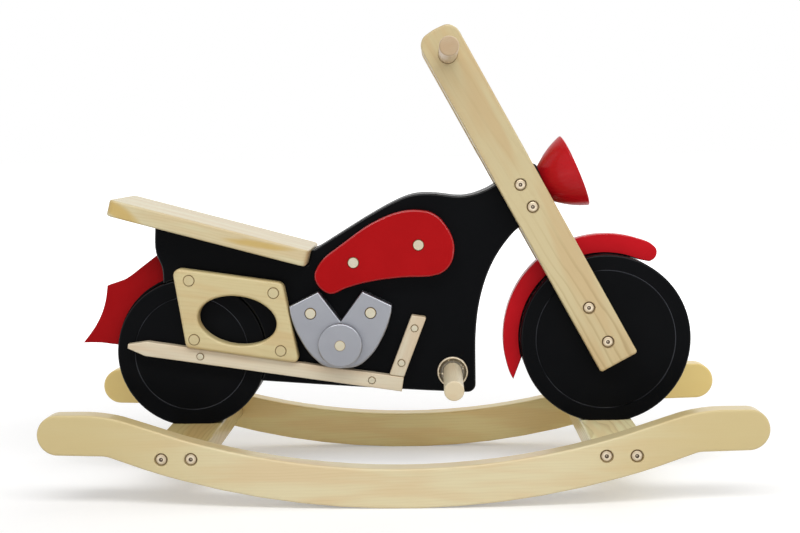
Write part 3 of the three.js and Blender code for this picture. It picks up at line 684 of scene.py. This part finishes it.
def headings(sides, turns, straight, corners):
    """The directions in which the curve arrives at each point and leaves it."""
    arriving, leaving = [], []
    for i, side in enumerate(sides):
        back, on = sides[i - 1].normalized(), side.normalized()
        if corners and (turns[i] > SHARP or (straight[i - 1] and straight[i])):
            arriving.append(back)
            leaving.append(on)
            continue
        if straight[i - 1]:
            heading = back
        elif straight[i]:
            heading = on
        else:
            heading = (back * side.length + on * sides[i - 1].length).normalized()
        arriving.append(heading)
        leaving.append(heading)
    return arriving, leaving


def hermite(start, out, end, into, length, t):
    """The point at a share t of a curve that leaves along out and arrives along into."""
    return ((2 * t**3 - 3 * t**2 + 1) * start + (t**3 - 2 * t**2 + t) * length * out
            + (3 * t**2 - 2 * t**3) * end + (t**3 - t**2) * length * into)


def smoothed(points, corners=True):
    """The rim with its curves made smooth. Without corners, all of it is one curve."""
    count = len(points)
    sides = [points[(i + 1) % count] - points[i] for i in range(count)]
    lengths = [side.length for side in sides]
    turns = [abs(sides[i - 1].angle_signed(sides[i])) for i in range(count)]
    straight = straight_sides(lengths, turns) if corners else [False] * count
    arriving, leaving = headings(sides, turns, straight, corners)
    smooth = []
    for i, side in enumerate(sides):
        on = (i + 1) % count
        out, into = leaving[i], arriving[on]
        bend = abs(out.angle_signed(side)) + abs(into.angle_signed(side))
        steps = 1 if straight[i] else max(1, math.ceil(bend / FINE))
        smooth += [hermite(points[i], out, points[on], into, lengths[i], step / steps)
                   for step in range(steps)]
    return smooth


octagon = [Vector((math.cos(k * math.pi / 4), math.sin(k * math.pi / 4))) for k in range(8)]
print("an octagon becomes a curve of", len(smoothed(octagon, corners=False)), "points")

# %% [markdown]
# ## Boards
# A board is its outline, extruded, with sanded edges. A bevel modifier could
# round them, but it leaves odd corners where short sides meet, so the outline is
# moved inward in steps, as a quarter round. The oval window gets the same edge.
# Where a round hole is wider at one face it seats a bolt head, so it has a step.

# %% Move a rim and round its edges
EDGE_STEPS = 4
SPIKE = 0.2


def inset(points, distance):
    """The rim, moved into the board. The spike limits a sharp corner's reach."""
    moved = []
    for i, point in enumerate(points):
        back = (point - points[i - 1]).normalized()
        on = (points[(i + 1) % len(points)] - point).normalized()
        first, second = Vector((-back.y, back.x)), Vector((-on.y, on.x))
        moved.append(point + (first + second) * distance / max(1 + first.dot(second), SPIKE))
    return moved


def quarter_round(points, edge, low, high):
    """Rims from the upper face over both sanded edges to the lower face."""
    first_step = 0 if edge else EDGE_STEPS
    steps = [math.pi / 2 * step / EDGE_STEPS for step in range(first_step, EDGE_STEPS + 1)]
    sides = [(edge * (1 - math.sin(angle)), edge * (1 - math.cos(angle))) for angle in steps]
    above = [(inset(points, inward), high - down) for inward, down in sides]
    below = [(inset(points, inward), low + down) for inward, down in reversed(sides)]
    return above + below


print("an edge has", len(quarter_round(octagon, 0.1, 0, 1)), "rims from face to face")

# %% Walls of holes
HOLE_SIDES = 48
HEAD_SEAT = 3.0 * MM
MOUTH = 0.4 * MM
ROUND_ENOUGH = 0.8


def area(points):
    return sum(a.x * b.y - b.x * a.y for a, b in zip(points, points[1:] + points[:1])) / 2


def middle(points):
    return sum(points, Vector((0, 0))) / len(points)


def circle(centre, radius):
    angles = [2 * math.pi * step / HOLE_SIDES for step in range(HOLE_SIDES)]
    return [centre + radius * Vector((math.cos(angle), math.sin(angle))) for angle in angles]


def hole_wall(upper, lower, edge, low, high):
    """Rims of a hole from the upper face to the lower: a round one, or the oval window."""
    centre = middle(upper)
    reaches = [(point - centre).length for point in upper]
    if min(reaches) < ROUND_ENOUGH * max(reaches):
        window = smoothed(upper if area(upper) < 0 else upper[::-1], corners=False)
        return quarter_round(window, edge, low, high)
    above = max(reaches)
    below = max((point - middle(lower)).length for point in lower)
    seats = []
    if above > below + MM:
        seats = [(circle(centre, radius), high - HEAD_SEAT) for radius in (above, below)]
    if below > above + MM:
        seats = [(circle(centre, radius), low + HEAD_SEAT) for radius in (above, below)]
    return [(circle(centre, above + MOUTH), high), (circle(centre, above), high - MOUTH), *seats,
            (circle(centre, below), low + MOUTH), (circle(centre, below + MOUTH), low)]


print("a hole has", HOLE_SIDES, "sides and a mouth of", round(MOUTH / MM, 2), "mm")

# %% All walls of a board
RIM_SLACK = 0.1 * MM
WIDE_GAP = 1.5


def closed(points):
    """Whether a rim comes back to its start."""
    longest = max((b - a).length for a, b in zip(points, points[1:]))
    return (points[0] - points[-1]).length < WIDE_GAP * longest


def largest_first(rims):
    return sorted(rims, key=lambda points: -abs(area(points)))


def walls_of(node, edge, plane, grown, corners, sanded):
    """The rims of the outline's wall and of each hole's wall."""
    solid = solids[node]
    heights = [(plane.inverted() @ vertex.co).z for vertex in solid.data.vertices]
    low, high = min(heights), max(heights)
    near = edge + RIM_SLACK
    rims = rims_of(solid, plane)
    upper = largest_first(points for height, points in rims if height > high - near)
    lower = largest_first(points for height, points in rims if height < low + near)
    outline = smoothed(upper[0] if area(upper[0]) > 0 else upper[0][::-1], corners)
    walls = [quarter_round(inset(outline, -grown), sanded or edge, low, high)]
    for hole in filter(closed, upper[1:]):
        match = min(lower[1:], key=lambda points: (middle(points) - middle(hole)).length)
        walls.append(hole_wall(hole, match, sanded or edge, low, high))
    return walls


tank_walls = walls_of("tank_right", 2.5 * MM, UPRIGHT, 0, False, 0)
print("the tank has", len(tank_walls), "walls, and", len(tank_walls[0][0][0]), "points round it")


# %% A mesh from walls
def mesh_from_walls(name, walls, plane):
    """Joins each wall's rims by faces, and closes both ends."""
    mesh = bmesh.new()
    ends = [[], []]
    for wall in walls:
        rings = [[mesh.verts.new((p.x, p.y, height)) for p in points] for points, height in wall]
        for ring, following in zip(rings, rings[1:]):
            for i in range(len(ring)):
                mesh.faces.new((ring[i - 1], ring[i], following[i], following[i - 1]))
        ends[0].append(rings[0])
        ends[1].append(rings[-1])
    for rings in ends:
        flat = [vert for ring in rings for vert in ring]
        if len(rings) == 1:
            mesh.faces.new(flat)
            continue
        for corners in tessellate_polygon([[vert.co for vert in ring] for ring in rings]):
            mesh.faces.new([flat[corner] for corner in corners])
    bmesh.ops.remove_doubles(mesh, verts=mesh.verts, dist=WELD / 10)
    mesh.transform(plane)
    return finished_mesh(mesh, name)


def finished_mesh(mesh, name):
    bmesh.ops.recalc_face_normals(mesh, faces=mesh.faces)
    data = bpy.data.meshes.new(name)
    mesh.to_mesh(data)
    mesh.free()
    return data


sample = mesh_from_walls("sample", tank_walls, UPRIGHT)
print("the tank gets", len(sample.polygons), "faces")
bpy.data.meshes.remove(sample)

# %% [markdown]
# ## Put a piece in the toy
# A piece stands for its CAD node, which stays in the physics model. Flat shading
# would show each small side, so faces are shaded smooth except across real edges.
# Large ones keep their own normal, so that a sanded edge doesn't darken them.

# %% Place a piece
CREASE = math.radians(38)
placed = []


def place_piece(data, node, material, flats=True):
    piece = put(node + "_made", data)
    data.materials.append(material)
    data.shade_smooth()
    data.set_sharp_from_angle(angle=CREASE)
    if flats:
        weighted = piece.modifiers.new("flat faces", "WEIGHTED_NORMAL")
        weighted.keep_sharp = True
    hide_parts(node)
    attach(piece, body)
    placed.append(node)


def board(node, material, edge=2.5, plane=UPRIGHT, grown=0.0, corners=True, sanded=0.0):
    """The edge is the solid's own bevel, and sanded is a larger radius for the piece."""
    walls = walls_of(node, edge * MM, plane, grown * MM, corners, sanded * MM)
    place_piece(mesh_from_walls(node, walls, plane), node, material)


def restained(node, material):
    """A CAD solid that stays in the picture and gets a new finish."""
    data = solids[node].data
    data.materials.clear()
    data.materials.append(material)


print("edges under", round(math.degrees(CREASE)), "degrees are smooth")

# %% [markdown]
# ## Turned pieces
# Dowels, discs, bolt heads and the headlight come from a lathe. A screw modifier
# could spin them, but a bolt's socket has six sides. So the profile is spun here,
# and a point may say that its ring is a hexagon. The flat that a wheel stands on
# is cut by moving every point below it up to it.

# %% Spin a profile
SIDES = 96
HEXAGON = math.pi / 3


def ring_reach(radius, angle, hexed):
    if not hexed:
        return radius
    return radius * math.cos(HEXAGON / 2) / math.cos(angle % HEXAGON - HEXAGON / 2)


def spin(mesh, profile, axis, centre, floor=None):
    """Adds a closed turned shape. The profile is (radius, along the axis, hexagon or not)."""
    turned = Vector(axis).to_track_quat("Z", "X").to_matrix()
    rings = []
    for radius, along, *hexed in profile:
        verts = []
        for side in range(SIDES if radius else 1):
            angle = 2 * math.pi * side / SIDES
            reach = ring_reach(radius, angle, bool(hexed))
            local = Vector((reach * math.cos(angle), reach * math.sin(angle), along)) * MM
            point = turned @ local + centre
            if floor is not None:
                point.z = max(point.z, floor)
            verts.append(mesh.verts.new(point))
        rings.append(verts)
    for ring, following in zip(rings, rings[1:]):
        for i in range(SIDES):
            corners = [ring[(i - 1) % len(ring)], ring[i % len(ring)],
                       following[i % len(following)], following[(i - 1) % len(following)]]
            unique = list(dict.fromkeys(corners))
            if len(unique) > 2:
                mesh.faces.new(unique)


def turned_piece(node, profiles, material, floor=None, flats=True):
    """Each profile comes with its axis and its centre."""
    mesh = bmesh.new()
    for profile, axis, centre in profiles:
        spin(mesh, profile, axis, centre, floor)
    place_piece(finished_mesh(mesh, node), node, material, flats)


print("turned pieces have", SIDES, "sides")

# %% Measure a node and draw a bar
END_STEPS = 4


def centre_of(node):
    low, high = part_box(node)
    return (low + high) / 2


def half_length(node):
    low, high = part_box(node)
    return (high.y - low.y) / 2 / MM


def rounded_end(radius, half, edge):
    """Half of a round bar's profile: from the middle of its end, over the sanded edge."""
    angles = [math.pi / 2 * step / END_STEPS for step in range(END_STEPS + 1)]
    return [(0, half)] + [(radius - edge + edge * math.sin(angle),
                           half - edge + edge * math.cos(angle)) for angle in angles]


def mirrored(profile):
    """The same profile for the other end, in the order that goes on from it."""
    return [(radius, -along, *hexed) for radius, along, *hexed in reversed(profile)]


def bar_profile(radius, half, edge):
    end = rounded_end(radius, half, edge)
    return end + mirrored(end)


print("the handlebar is", round(2 * half_length("handlebar")), "mm long")

# %% [markdown]
# ## Runners and crossbars
# The runners are sawn from clear pine with the grain along them. The crossbars
# have stronger figure. They could be rebuilt as boards too, but their ends are
# hidden, so they keep their CAD solids and only get the wood.

# %% Runners and crossbars
HANDS = (("left", 1), ("right", -1))
# The far (left) runner's pine is much lighter: painted light for its inner face, which the toy
# shades.
RUNNER_TONES_AND_PAINTED_LIGHT = {"left": (1.22, 1.17, 0.87), "right": (0.94, 0.96, 0.97)}
# The rear crossbar's pine is darker, painted shade for its place under the bike, and the front
# one's lighter, painted light for its partly shaded top.
CROSSBARS_WITH_PAINTED_LIGHT_AND_SHADE = {"rear": ((-270, 0, 10), 1.0, (0.73, 0.67, 0.48)),
             "front": ((215, 0, -20), 1.3, (1.28, 1.36, 1.3))}

for side, outward in HANDS:
    runner_pith = (0, 60 * outward, 470)
    runner_wood = wood("pine_runner_" + side, PINE, X_WAY, runner_pith, 0.25,
                       RUNNER_TONES_AND_PAINTED_LIGHT[side], end_share=0.9)
    board("runner_" + side, runner_wood)

for place, (pith, figure, tone) in CROSSBARS_WITH_PAINTED_LIGHT_AND_SHADE.items():
    restained("crossbar_" + place,
              wood("pine_crossbar_" + place, PINE, Y_WAY, pith, figure, tone))
print("placed", placed)

# %% [markdown]
# ## Bolts
# A connector bolt has a low, wide head with a hexagon socket, and ends in a
# barrel nut: a short cylinder across it, let into the crossbar from below. A
# plain disc would do from afar, but the socket makes it a bolt, so it is in the
# profile. The fork's bolts have two heads.

# %% Bolts of the runners
HEAD_THICKNESS = 2.4
HEAD = [(0, 0.7), (2.1, 0.9, "hex"), (2.1, 2.3, "hex"), (2.6, 2.4), (3.6, 2.35),
        (4.8, 2.05), (5.8, 1.5), (6.4, 0.8), (6.5, 0.0)]
SHANK = 3.5
BOLT_HEIGHT = 55.5 * MM
CROSSBAR_HALF, NUT_FROM_END = 118, 34
NUT = bar_profile(5, 7.5, 0.4)


def bolt_head(top_level):
    """The head's profile with its top at a level, and the start of the shank."""
    head = [(radius, along - HEAD_THICKNESS + top_level, *hexed)
            for radius, along, *hexed in HEAD]
    return head + [(SHANK, top_level - HEAD_THICKNESS)]


def runner_bolt(node, outward):
    low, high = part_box(node)
    head_top = high.y if outward > 0 else low.y
    length = (high.y - low.y) / MM
    profile = bolt_head(0) + [(SHANK, -length), (0, -length)]
    seat = Vector(((low.x + high.x) / 2, head_top, BOLT_HEIGHT))
    nut_place = Vector((seat.x, outward * (CROSSBAR_HALF - NUT_FROM_END) * MM, BOLT_HEIGHT))
    profiles = [(profile, outward * Y_WAY, seat), (NUT, Z_WAY, nut_place)]
    turned_piece(node, profiles, plated(node + "_steel", seat), flats=False)


for place in ("rear", "front"):
    for number in (1, 2):
        for side, outward in HANDS:
            runner_bolt(f"runner_bolt_{place}_{number}_{side}", outward)
print("a bolt's head is", 2 * HEAD[-1][0], "mm wide")

# %% Bolts of the fork
for name in ("axle", "wheel", "nose_lower", "nose_upper"):
    node = "fork_bolt_" + name
    centre = centre_of(node)
    head = bolt_head(half_length(node))
    turned_piece(node, [(head + mirrored(head), Y_WAY, centre)],
                 plated(node + "_steel", centre), flats=False)
    print(name, "bolt is", round(2 * half_length(node), 1), "mm long")

# %% [markdown]
# ## Body and wheels
# The body's core and side panels share one outline. The core is a hair larger,
# so that the three layers show as fine lines. A wheel is three discs, and a
# router cut a fine groove in the outer ones. It could be painted on, but light
# in a real dip moves with the view, so the profile has a small dip. The paint
# adds a painted highlight along the groove too.

# %% The body
PROUD = 0.13
black = paint("black_paint", BLACK, 0.36, 0.03, 0.5)
black_edge = paint("black_core", BLACK, 0.42, 0.03, 0.3)
board("body_core", black_edge, edge=0, grown=PROUD)
for side, outward in HANDS:
    board("body_side_" + side, black)
print("the core stands out by", PROUD, "mm")

# %% Wheels
WHEEL_FLOOR = 67.5 * MM
LAYER = 18
DISC = LAYER / 2
ROUND = 2.5
GROOVE_TOP, GROOVE_BOTTOM, GROOVE_DEPTH = 1.0, 0.45, 0.9


def disc_profile(radius, groove):
    face = [(0, DISC), (groove - GROOVE_TOP, DISC),
            (groove - GROOVE_BOTTOM, DISC - GROOVE_DEPTH),
            (groove + GROOVE_BOTTOM, DISC - GROOVE_DEPTH), (groove + GROOVE_TOP, DISC)]
    rim = rounded_end(radius, DISC, ROUND)[1:]
    return face + rim + mirrored(rim) + [(0, -DISC)]


for place, (x, z, radius, groove) in WHEELS.items():
    wheel_paint = paint(f"black_{place}_wheel", BLACK, 0.36, 0.03, 0.2, groove=place)
    for side, outward in HANDS:
        centre = Vector((x, outward * LAYER, z)) * MM
        turned_piece(f"{place}_wheel_disc_{side}",
                     [(disc_profile(radius, groove), outward * Y_WAY, centre)],
                     wheel_paint, WHEEL_FLOOR)
    print(place, "wheel is", 2 * radius, "mm across")

x, z, radius, _ = WHEELS["front"]
core = [(0, DISC), (radius, DISC), (radius, -DISC), (0, -DISC)]
turned_piece("front_wheel_core", [(core, Y_WAY, Vector((x, 0, z)) * MM)],
             black_edge, WHEEL_FLOOR)

# %% [markdown]
# ## Fenders and tank
# The fenders are single boards in the middle layer, and the tank lies on the
# body. One red could serve for all, but the front fender gets a lighter red and
# the rear one a darker red than the tank.

# %% Red boards
red = paint("red_paint", RED, 0.34, 0.04, 1.0)
front_red = paint("red_front_fender", FENDER_RED, 0.34, 0.05, 0.5, "front")
rear_red = paint("red_rear_fender", REAR_RED, 0.34, 0.04, 0.1, "rear")
SMALL_EDGE = 1.5
board("front_fender", front_red, SMALL_EDGE)
board("rear_fender", rear_red, SMALL_EDGE, grown=PROUD)
for side, outward in HANDS:
    board("tank_" + side, red, corners=False)
print("placed", placed[-4:])

# %% [markdown]
# ## Headlight
# The headlight is a bell, turned from solid wood and dipped in gloss paint. Its
# flank could be part of a ball, but it swells less, so it is a curve from back
# to rim that is pulled out by the belly. Its hidden dowel keeps the CAD solid.

# %% The headlight
LAMP_TILT = math.radians(22.7)
LAMP_PLACE = Vector((201.4, 0, 354.4)) * MM
LAMP_RADIUS, LAMP_BACK, LAMP_DEPTH, LAMP_RIM = 43.0, 20.5, 39.5, 1.6
BELLY = Vector((36.6, -21.4))
LAMP_STEPS = 28
RIM_ANGLES = (0.4, 0.8, 1.2, math.pi / 2)

lamp_axis = (math.cos(LAMP_TILT), 0, math.sin(LAMP_TILT))
back = Vector((LAMP_BACK, -LAMP_DEPTH))
front = Vector((LAMP_RADIUS, -LAMP_RIM))
shares = [step / LAMP_STEPS for step in range(LAMP_STEPS + 1)]
bell = [(1 - t) ** 2 * back + 2 * t * (1 - t) * BELLY + t**2 * front for t in shares]
lamp_rim = [(LAMP_RADIUS - LAMP_RIM + LAMP_RIM * math.cos(angle),
             LAMP_RIM * (math.sin(angle) - 1)) for angle in RIM_ANGLES]
lamp = [(0, -LAMP_DEPTH)] + [tuple(point) for point in bell] + lamp_rim + [(0, 0)]
lamp_paint = paint("red_headlight", linear(178, 18, 26), 0.24, 0.12, 0.1)
turned_piece("headlight", [(lamp, lamp_axis, LAMP_PLACE)], lamp_paint)
restained("headlight_dowel", wood("beech_spigot", BEECH, lamp_axis, (0, 40, 300)))
print("the bell's profile has", len(lamp), "points")

# %% [markdown]
# ## Silver engine
# The engine is a V of two heads with a round case pegged on it. The case could
# be a board too, but a turned one is rounder. The V was sanded more than the
# other boards, which gives it a bright edge.

# %% Engine
CASE = 25.2
for side, outward in HANDS:
    board("engine_" + side, silver, SMALL_EDGE, sanded=2.8)
    node = "engine_case_" + side
    half = half_length(node)
    profile = rounded_end(CASE, half, ROUND) + [(CASE, -half), (0, -half)]
    turned_piece(node, [(profile, outward * Y_WAY, centre_of(node))], silver)
    print(node, "is", round(2 * half, 1), "mm thick")

# %% [markdown]
# ## Seat and fork legs
# The seat is a plank on a slope. It could be built level and turned, but a board
# can be read in any plane, so it gets that of its slope. Its side shows two warm
# flames. Each leg's grain follows its lean, in wide rings that show at its foot.

# %% Seat
SEAT_TILT = math.radians(15.3)
down_seat = Vector((math.cos(SEAT_TILT), 0, -math.sin(SEAT_TILT)))
seat_up = Vector((math.sin(SEAT_TILT), 0, math.cos(SEAT_TILT)))
seat_plane = Matrix((down_seat, Y_WAY, seat_up)).transposed().to_4x4()
# Each flame: its middle, its length and height, and its slant
seat_flames = [((-314.7, -56, 317.2), 36, 11, 1.1), ((-158, -56, 278.5), 48, 5, -0.9)]
seat_wood = wood("pine_seat", PINE, down_seat, (-200, -30, 205), 0.4, (0.81, 0.84, 0.83),
                 flames=seat_flames)
board("seat", seat_wood, plane=seat_plane)
print("the seat slopes by", round(math.degrees(SEAT_TILT), 1), "degrees")

# %% Fork legs
FORK_LEAN = math.radians(28.65)
LEG_TONE = (0.76, 0.735, 0.65)
up_leg = (-math.sin(FORK_LEAN), 0, math.cos(FORK_LEAN))
for side, outward in HANDS:
    leg_wood = wood("pine_leg_" + side, WIDE_PINE, up_leg, (195, outward * 100, 330), 0.25,
                    LEG_TONE, wander=0.8, low_figure=1.2)
    board("fork_leg_" + side, leg_wood)
print("the legs lean by", round(math.degrees(FORK_LEAN), 2), "degrees")

# %% [markdown]
# ## Pine trim
# The window board, the exhaust pipe and the short strip are pegged on the body.
# One wood could serve all, but each was cut from another plank, so each has its
# own pith and tone, and grain along its slope. The window board is the roundest.

# %% Pine trim
TRIM_TILT = math.radians(8.57)
down_trim = (math.cos(TRIM_TILT), 0, -math.sin(TRIM_TILT))
up_strip = (0.35, 0, 0.94)
# Each kind: its grain, its bevel, its sanded edge, its pith on the left and its tone
TRIM = {"window_board_": (down_trim, 2.5, 3.5, (0, 95, 120), (0.79, 0.77, 0.65)),
        "exhaust_pipe_": (down_trim, SMALL_EDGE, 0.0, (0, 60, 60), (0.9, 0.93, 1.12)),
        "strip_": (up_strip, SMALL_EDGE, 0.0, (40, 70, 100), (0.84, 0.87, 1.04))}
for side, outward in HANDS:
    for kind, (way, edge, sanded, (x, y, z), tone) in TRIM.items():
        trim_wood = wood("pine_" + kind + side, PINE, way, (x, outward * y, z), 0.3, tone)
        board(kind + side, trim_wood, edge, sanded=sanded)
print("placed", placed[-6:])

# %% [markdown]
# ## Dowels, handlebar and foot peg
# The plugs are the ends of dowels that go right through the sandwich. They could
# be discs, but a dowel's two ends belong together, so each is one bar. They
# stand a little proud, and their edge is rounded over.

# %% Dowels
CREAM = (1.0, 1.18, 1.34)
YELLOWED = (0.92, 1.0, 0.84)
THICK_DOWEL, THIN_DOWEL = 6.1, 4.0
THICK_FROM = 10 * MM
PLUG_EDGE = 0.7
for node in filter(lambda name: name.startswith("dowel_"), solids):
    low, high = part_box(node)
    radius = THICK_DOWEL if high.x - low.x > THICK_FROM else THIN_DOWEL
    tone = YELLOWED if "window" in node else CREAM
    centre = centre_of(node)
    hub = centre / MM
    grain = wood("beech_" + node, BEECH, Y_WAY, (hub.x + 9, 0, hub.z - 14), 0.5, tone,
                 glue=(tuple(hub), radius))
    profile = bar_profile(radius, half_length(node), PLUG_EDGE)
    turned_piece(node, [(profile, Y_WAY, centre)], grain)
print("dowels:", sum(name.startswith("dowel_") for name in placed))

# %% Handlebar and foot peg
BAR_EDGE = 1.8
BARS = {"handlebar": (10.25, "beech", (0.79, 0.74, 0.69)),
        "foot_peg": (10.75, "pine", (1.06, 1.13, 1.13))}
for node, (radius, slot, tone) in BARS.items():
    centre = centre_of(node)
    hub = centre / MM
    grain = wood("wood_" + node, BEECH, Y_WAY, (hub.x + 14, 0, hub.z + 22), 0.6, tone,
                 lacquer=0.0)
    profile = bar_profile(radius, half_length(node), BAR_EDGE)
    turned_piece(node, [(profile, Y_WAY, centre)], grain)
    print(node, "is", 2 * radius, "mm thick")

# %% [markdown]
# ## Washers
# A pressed steel washer seats the foot peg on each side. A flat ring would be
# quicker, but a pressed one shines on its rolled rim round a dished middle, so
# its profile has both.

# %% Washers
WASHER = [(11.05, 0), (17.7, 0), (17.7, 1.9), (17.45, 2.6), (16.9, 3.1), (16.2, 3.2),
          (15.5, 2.9), (15.0, 2.3), (14.2, 1.7), (12.6, 1.3), (11.9, 1.5), (11.4, 1.6),
          (11.05, 1.3), (11.05, 0)]
BODY_FACE = 27 * MM
for side, outward in HANDS:
    node = "foot_peg_washer_" + side
    centre = centre_of(node)
    seat = Vector((centre.x, outward * BODY_FACE, centre.z))
    turned_piece(node, [(WASHER, outward * Y_WAY, seat)],
                 plated(node + "_steel", centre, socket=False), flats=False)
print("placed", len(placed), "of", len(solids), "pieces, and the rest keep their solids")

# %% [markdown]
# ## Floor and light
# The photograph has a white background and soft light from above. More light
# could whiten the floor, but would wash out the toy too. So floor and world only
# look white, and near the toy the floor keeps its shadow. A long lamp lights the
# upper edges from above. One at the side and one behind draw the far edges, and
# a wide one in front, which gloss doesn't show, fills in.

# %% Floor
REACH = 30.0
SHADOW_RING = (0.5, 1.6)
NEAR_GLOW, FAR_GLOW = 0.28, 0.8
OPAQUE = (1.0,)


def seen_directly(start):
    """1 to the camera, in gloss and through glass, 0 for the light on the toy."""
    rays = [start.node("ShaderNodeLightPath", output=f"Is {kind} Ray")
            for kind in ("Camera", "Glossy", "Transmission")]
    return sum(rays[1:], rays[0]).clamped()


corners = [(x * REACH, y * REACH, 0) for x, y in ((-1, -1), (1, -1), (1, 1), (-1, 1))]
floor_data = bpy.data.meshes.new("floor")
floor_data.from_pydata(corners, [], [(0, 1, 2, 3)])
floor = put("floor", floor_data)
floor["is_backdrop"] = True
material, place, facing = new_finish("floor")
away = place.length() * MM
glow = seen_directly(place) * (away.step(*SHADOW_RING) * FAR_GLOW + NEAR_GLOW)
constants = {"Base Color": (0.8, 0.8, 0.8, 1), "Roughness": 0.9, "Specular IOR Level": 0.0,
             "Emission Strength": 1.0}
set_finish(material, constants, Emission_Color=glow.mix((0, 0, 0, 1), WHITE + OPAQUE))
floor_data.materials.append(material)
print("the floor is white from", SHADOW_RING[1], "m on")

# %% World
WORLD_LIGHT = 0.5
world = bpy.data.worlds.new("world")
bpy.context.scene.world = world
world.use_nodes = True
background = world.node_tree.nodes["Background"]
plain = (WORLD_LIGHT, WORLD_LIGHT, WORLD_LIGHT) + OPAQUE
sky = seen_directly(Field(background.outputs[0])).mix(plain, WHITE + OPAQUE)
world.node_tree.links.new(sky.socket, background.inputs["Color"])
print("the world lights the toy at", WORLD_LIGHT)

# %% Lamps
TARGET = Vector((0, 0, 0.2))
# Each lamp: its place, its width and depth in metres, and its watts
LAMPS = {"above": ((0.0, -1.6, 2.4), 3.6, 0.6, 40),
         "side": ((2.3, -1.6, 1.9), 1.0, 1.0, 10),
         "behind": ((1.2, 2.0, 2.2), 1.6, 1.6, 18),
         "front": ((0.6, -2.9, 0.9), 2.2, 2.2, 9)}
for name, (place, width, depth, watts) in LAMPS.items():
    data = bpy.data.lights.new(name, "AREA")
    data.shape = "RECTANGLE"
    data.size = width
    data.size_y = depth
    data.energy = watts
    made = put(name, data)
    made.location = place
    made.rotation_mode = "QUATERNION"
    made.rotation_quaternion = (TARGET - Vector(place)).to_track_quat("-Z", "Y")
    made.visible_glossy = name != "front"
    print(name, "lamp:", watts, "W")
bpy.context.scene.view_settings.view_transform = "Standard"

# %% [markdown]
# ## Measure the size
# The dressed toy is meant to stay in the box of its solids. A look could miss a
# millimetre, so both boxes are measured and kept, and the last line prints how
# far the toy grows past them.

# %% Print the sizes and finish
made_box = [list(corner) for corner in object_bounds()]
growth = [[round((new - old) / MM, 2) for new, old in zip(made, cad)]
          for made, cad in zip(made_box, cad_box)]
print("grown by", growth)
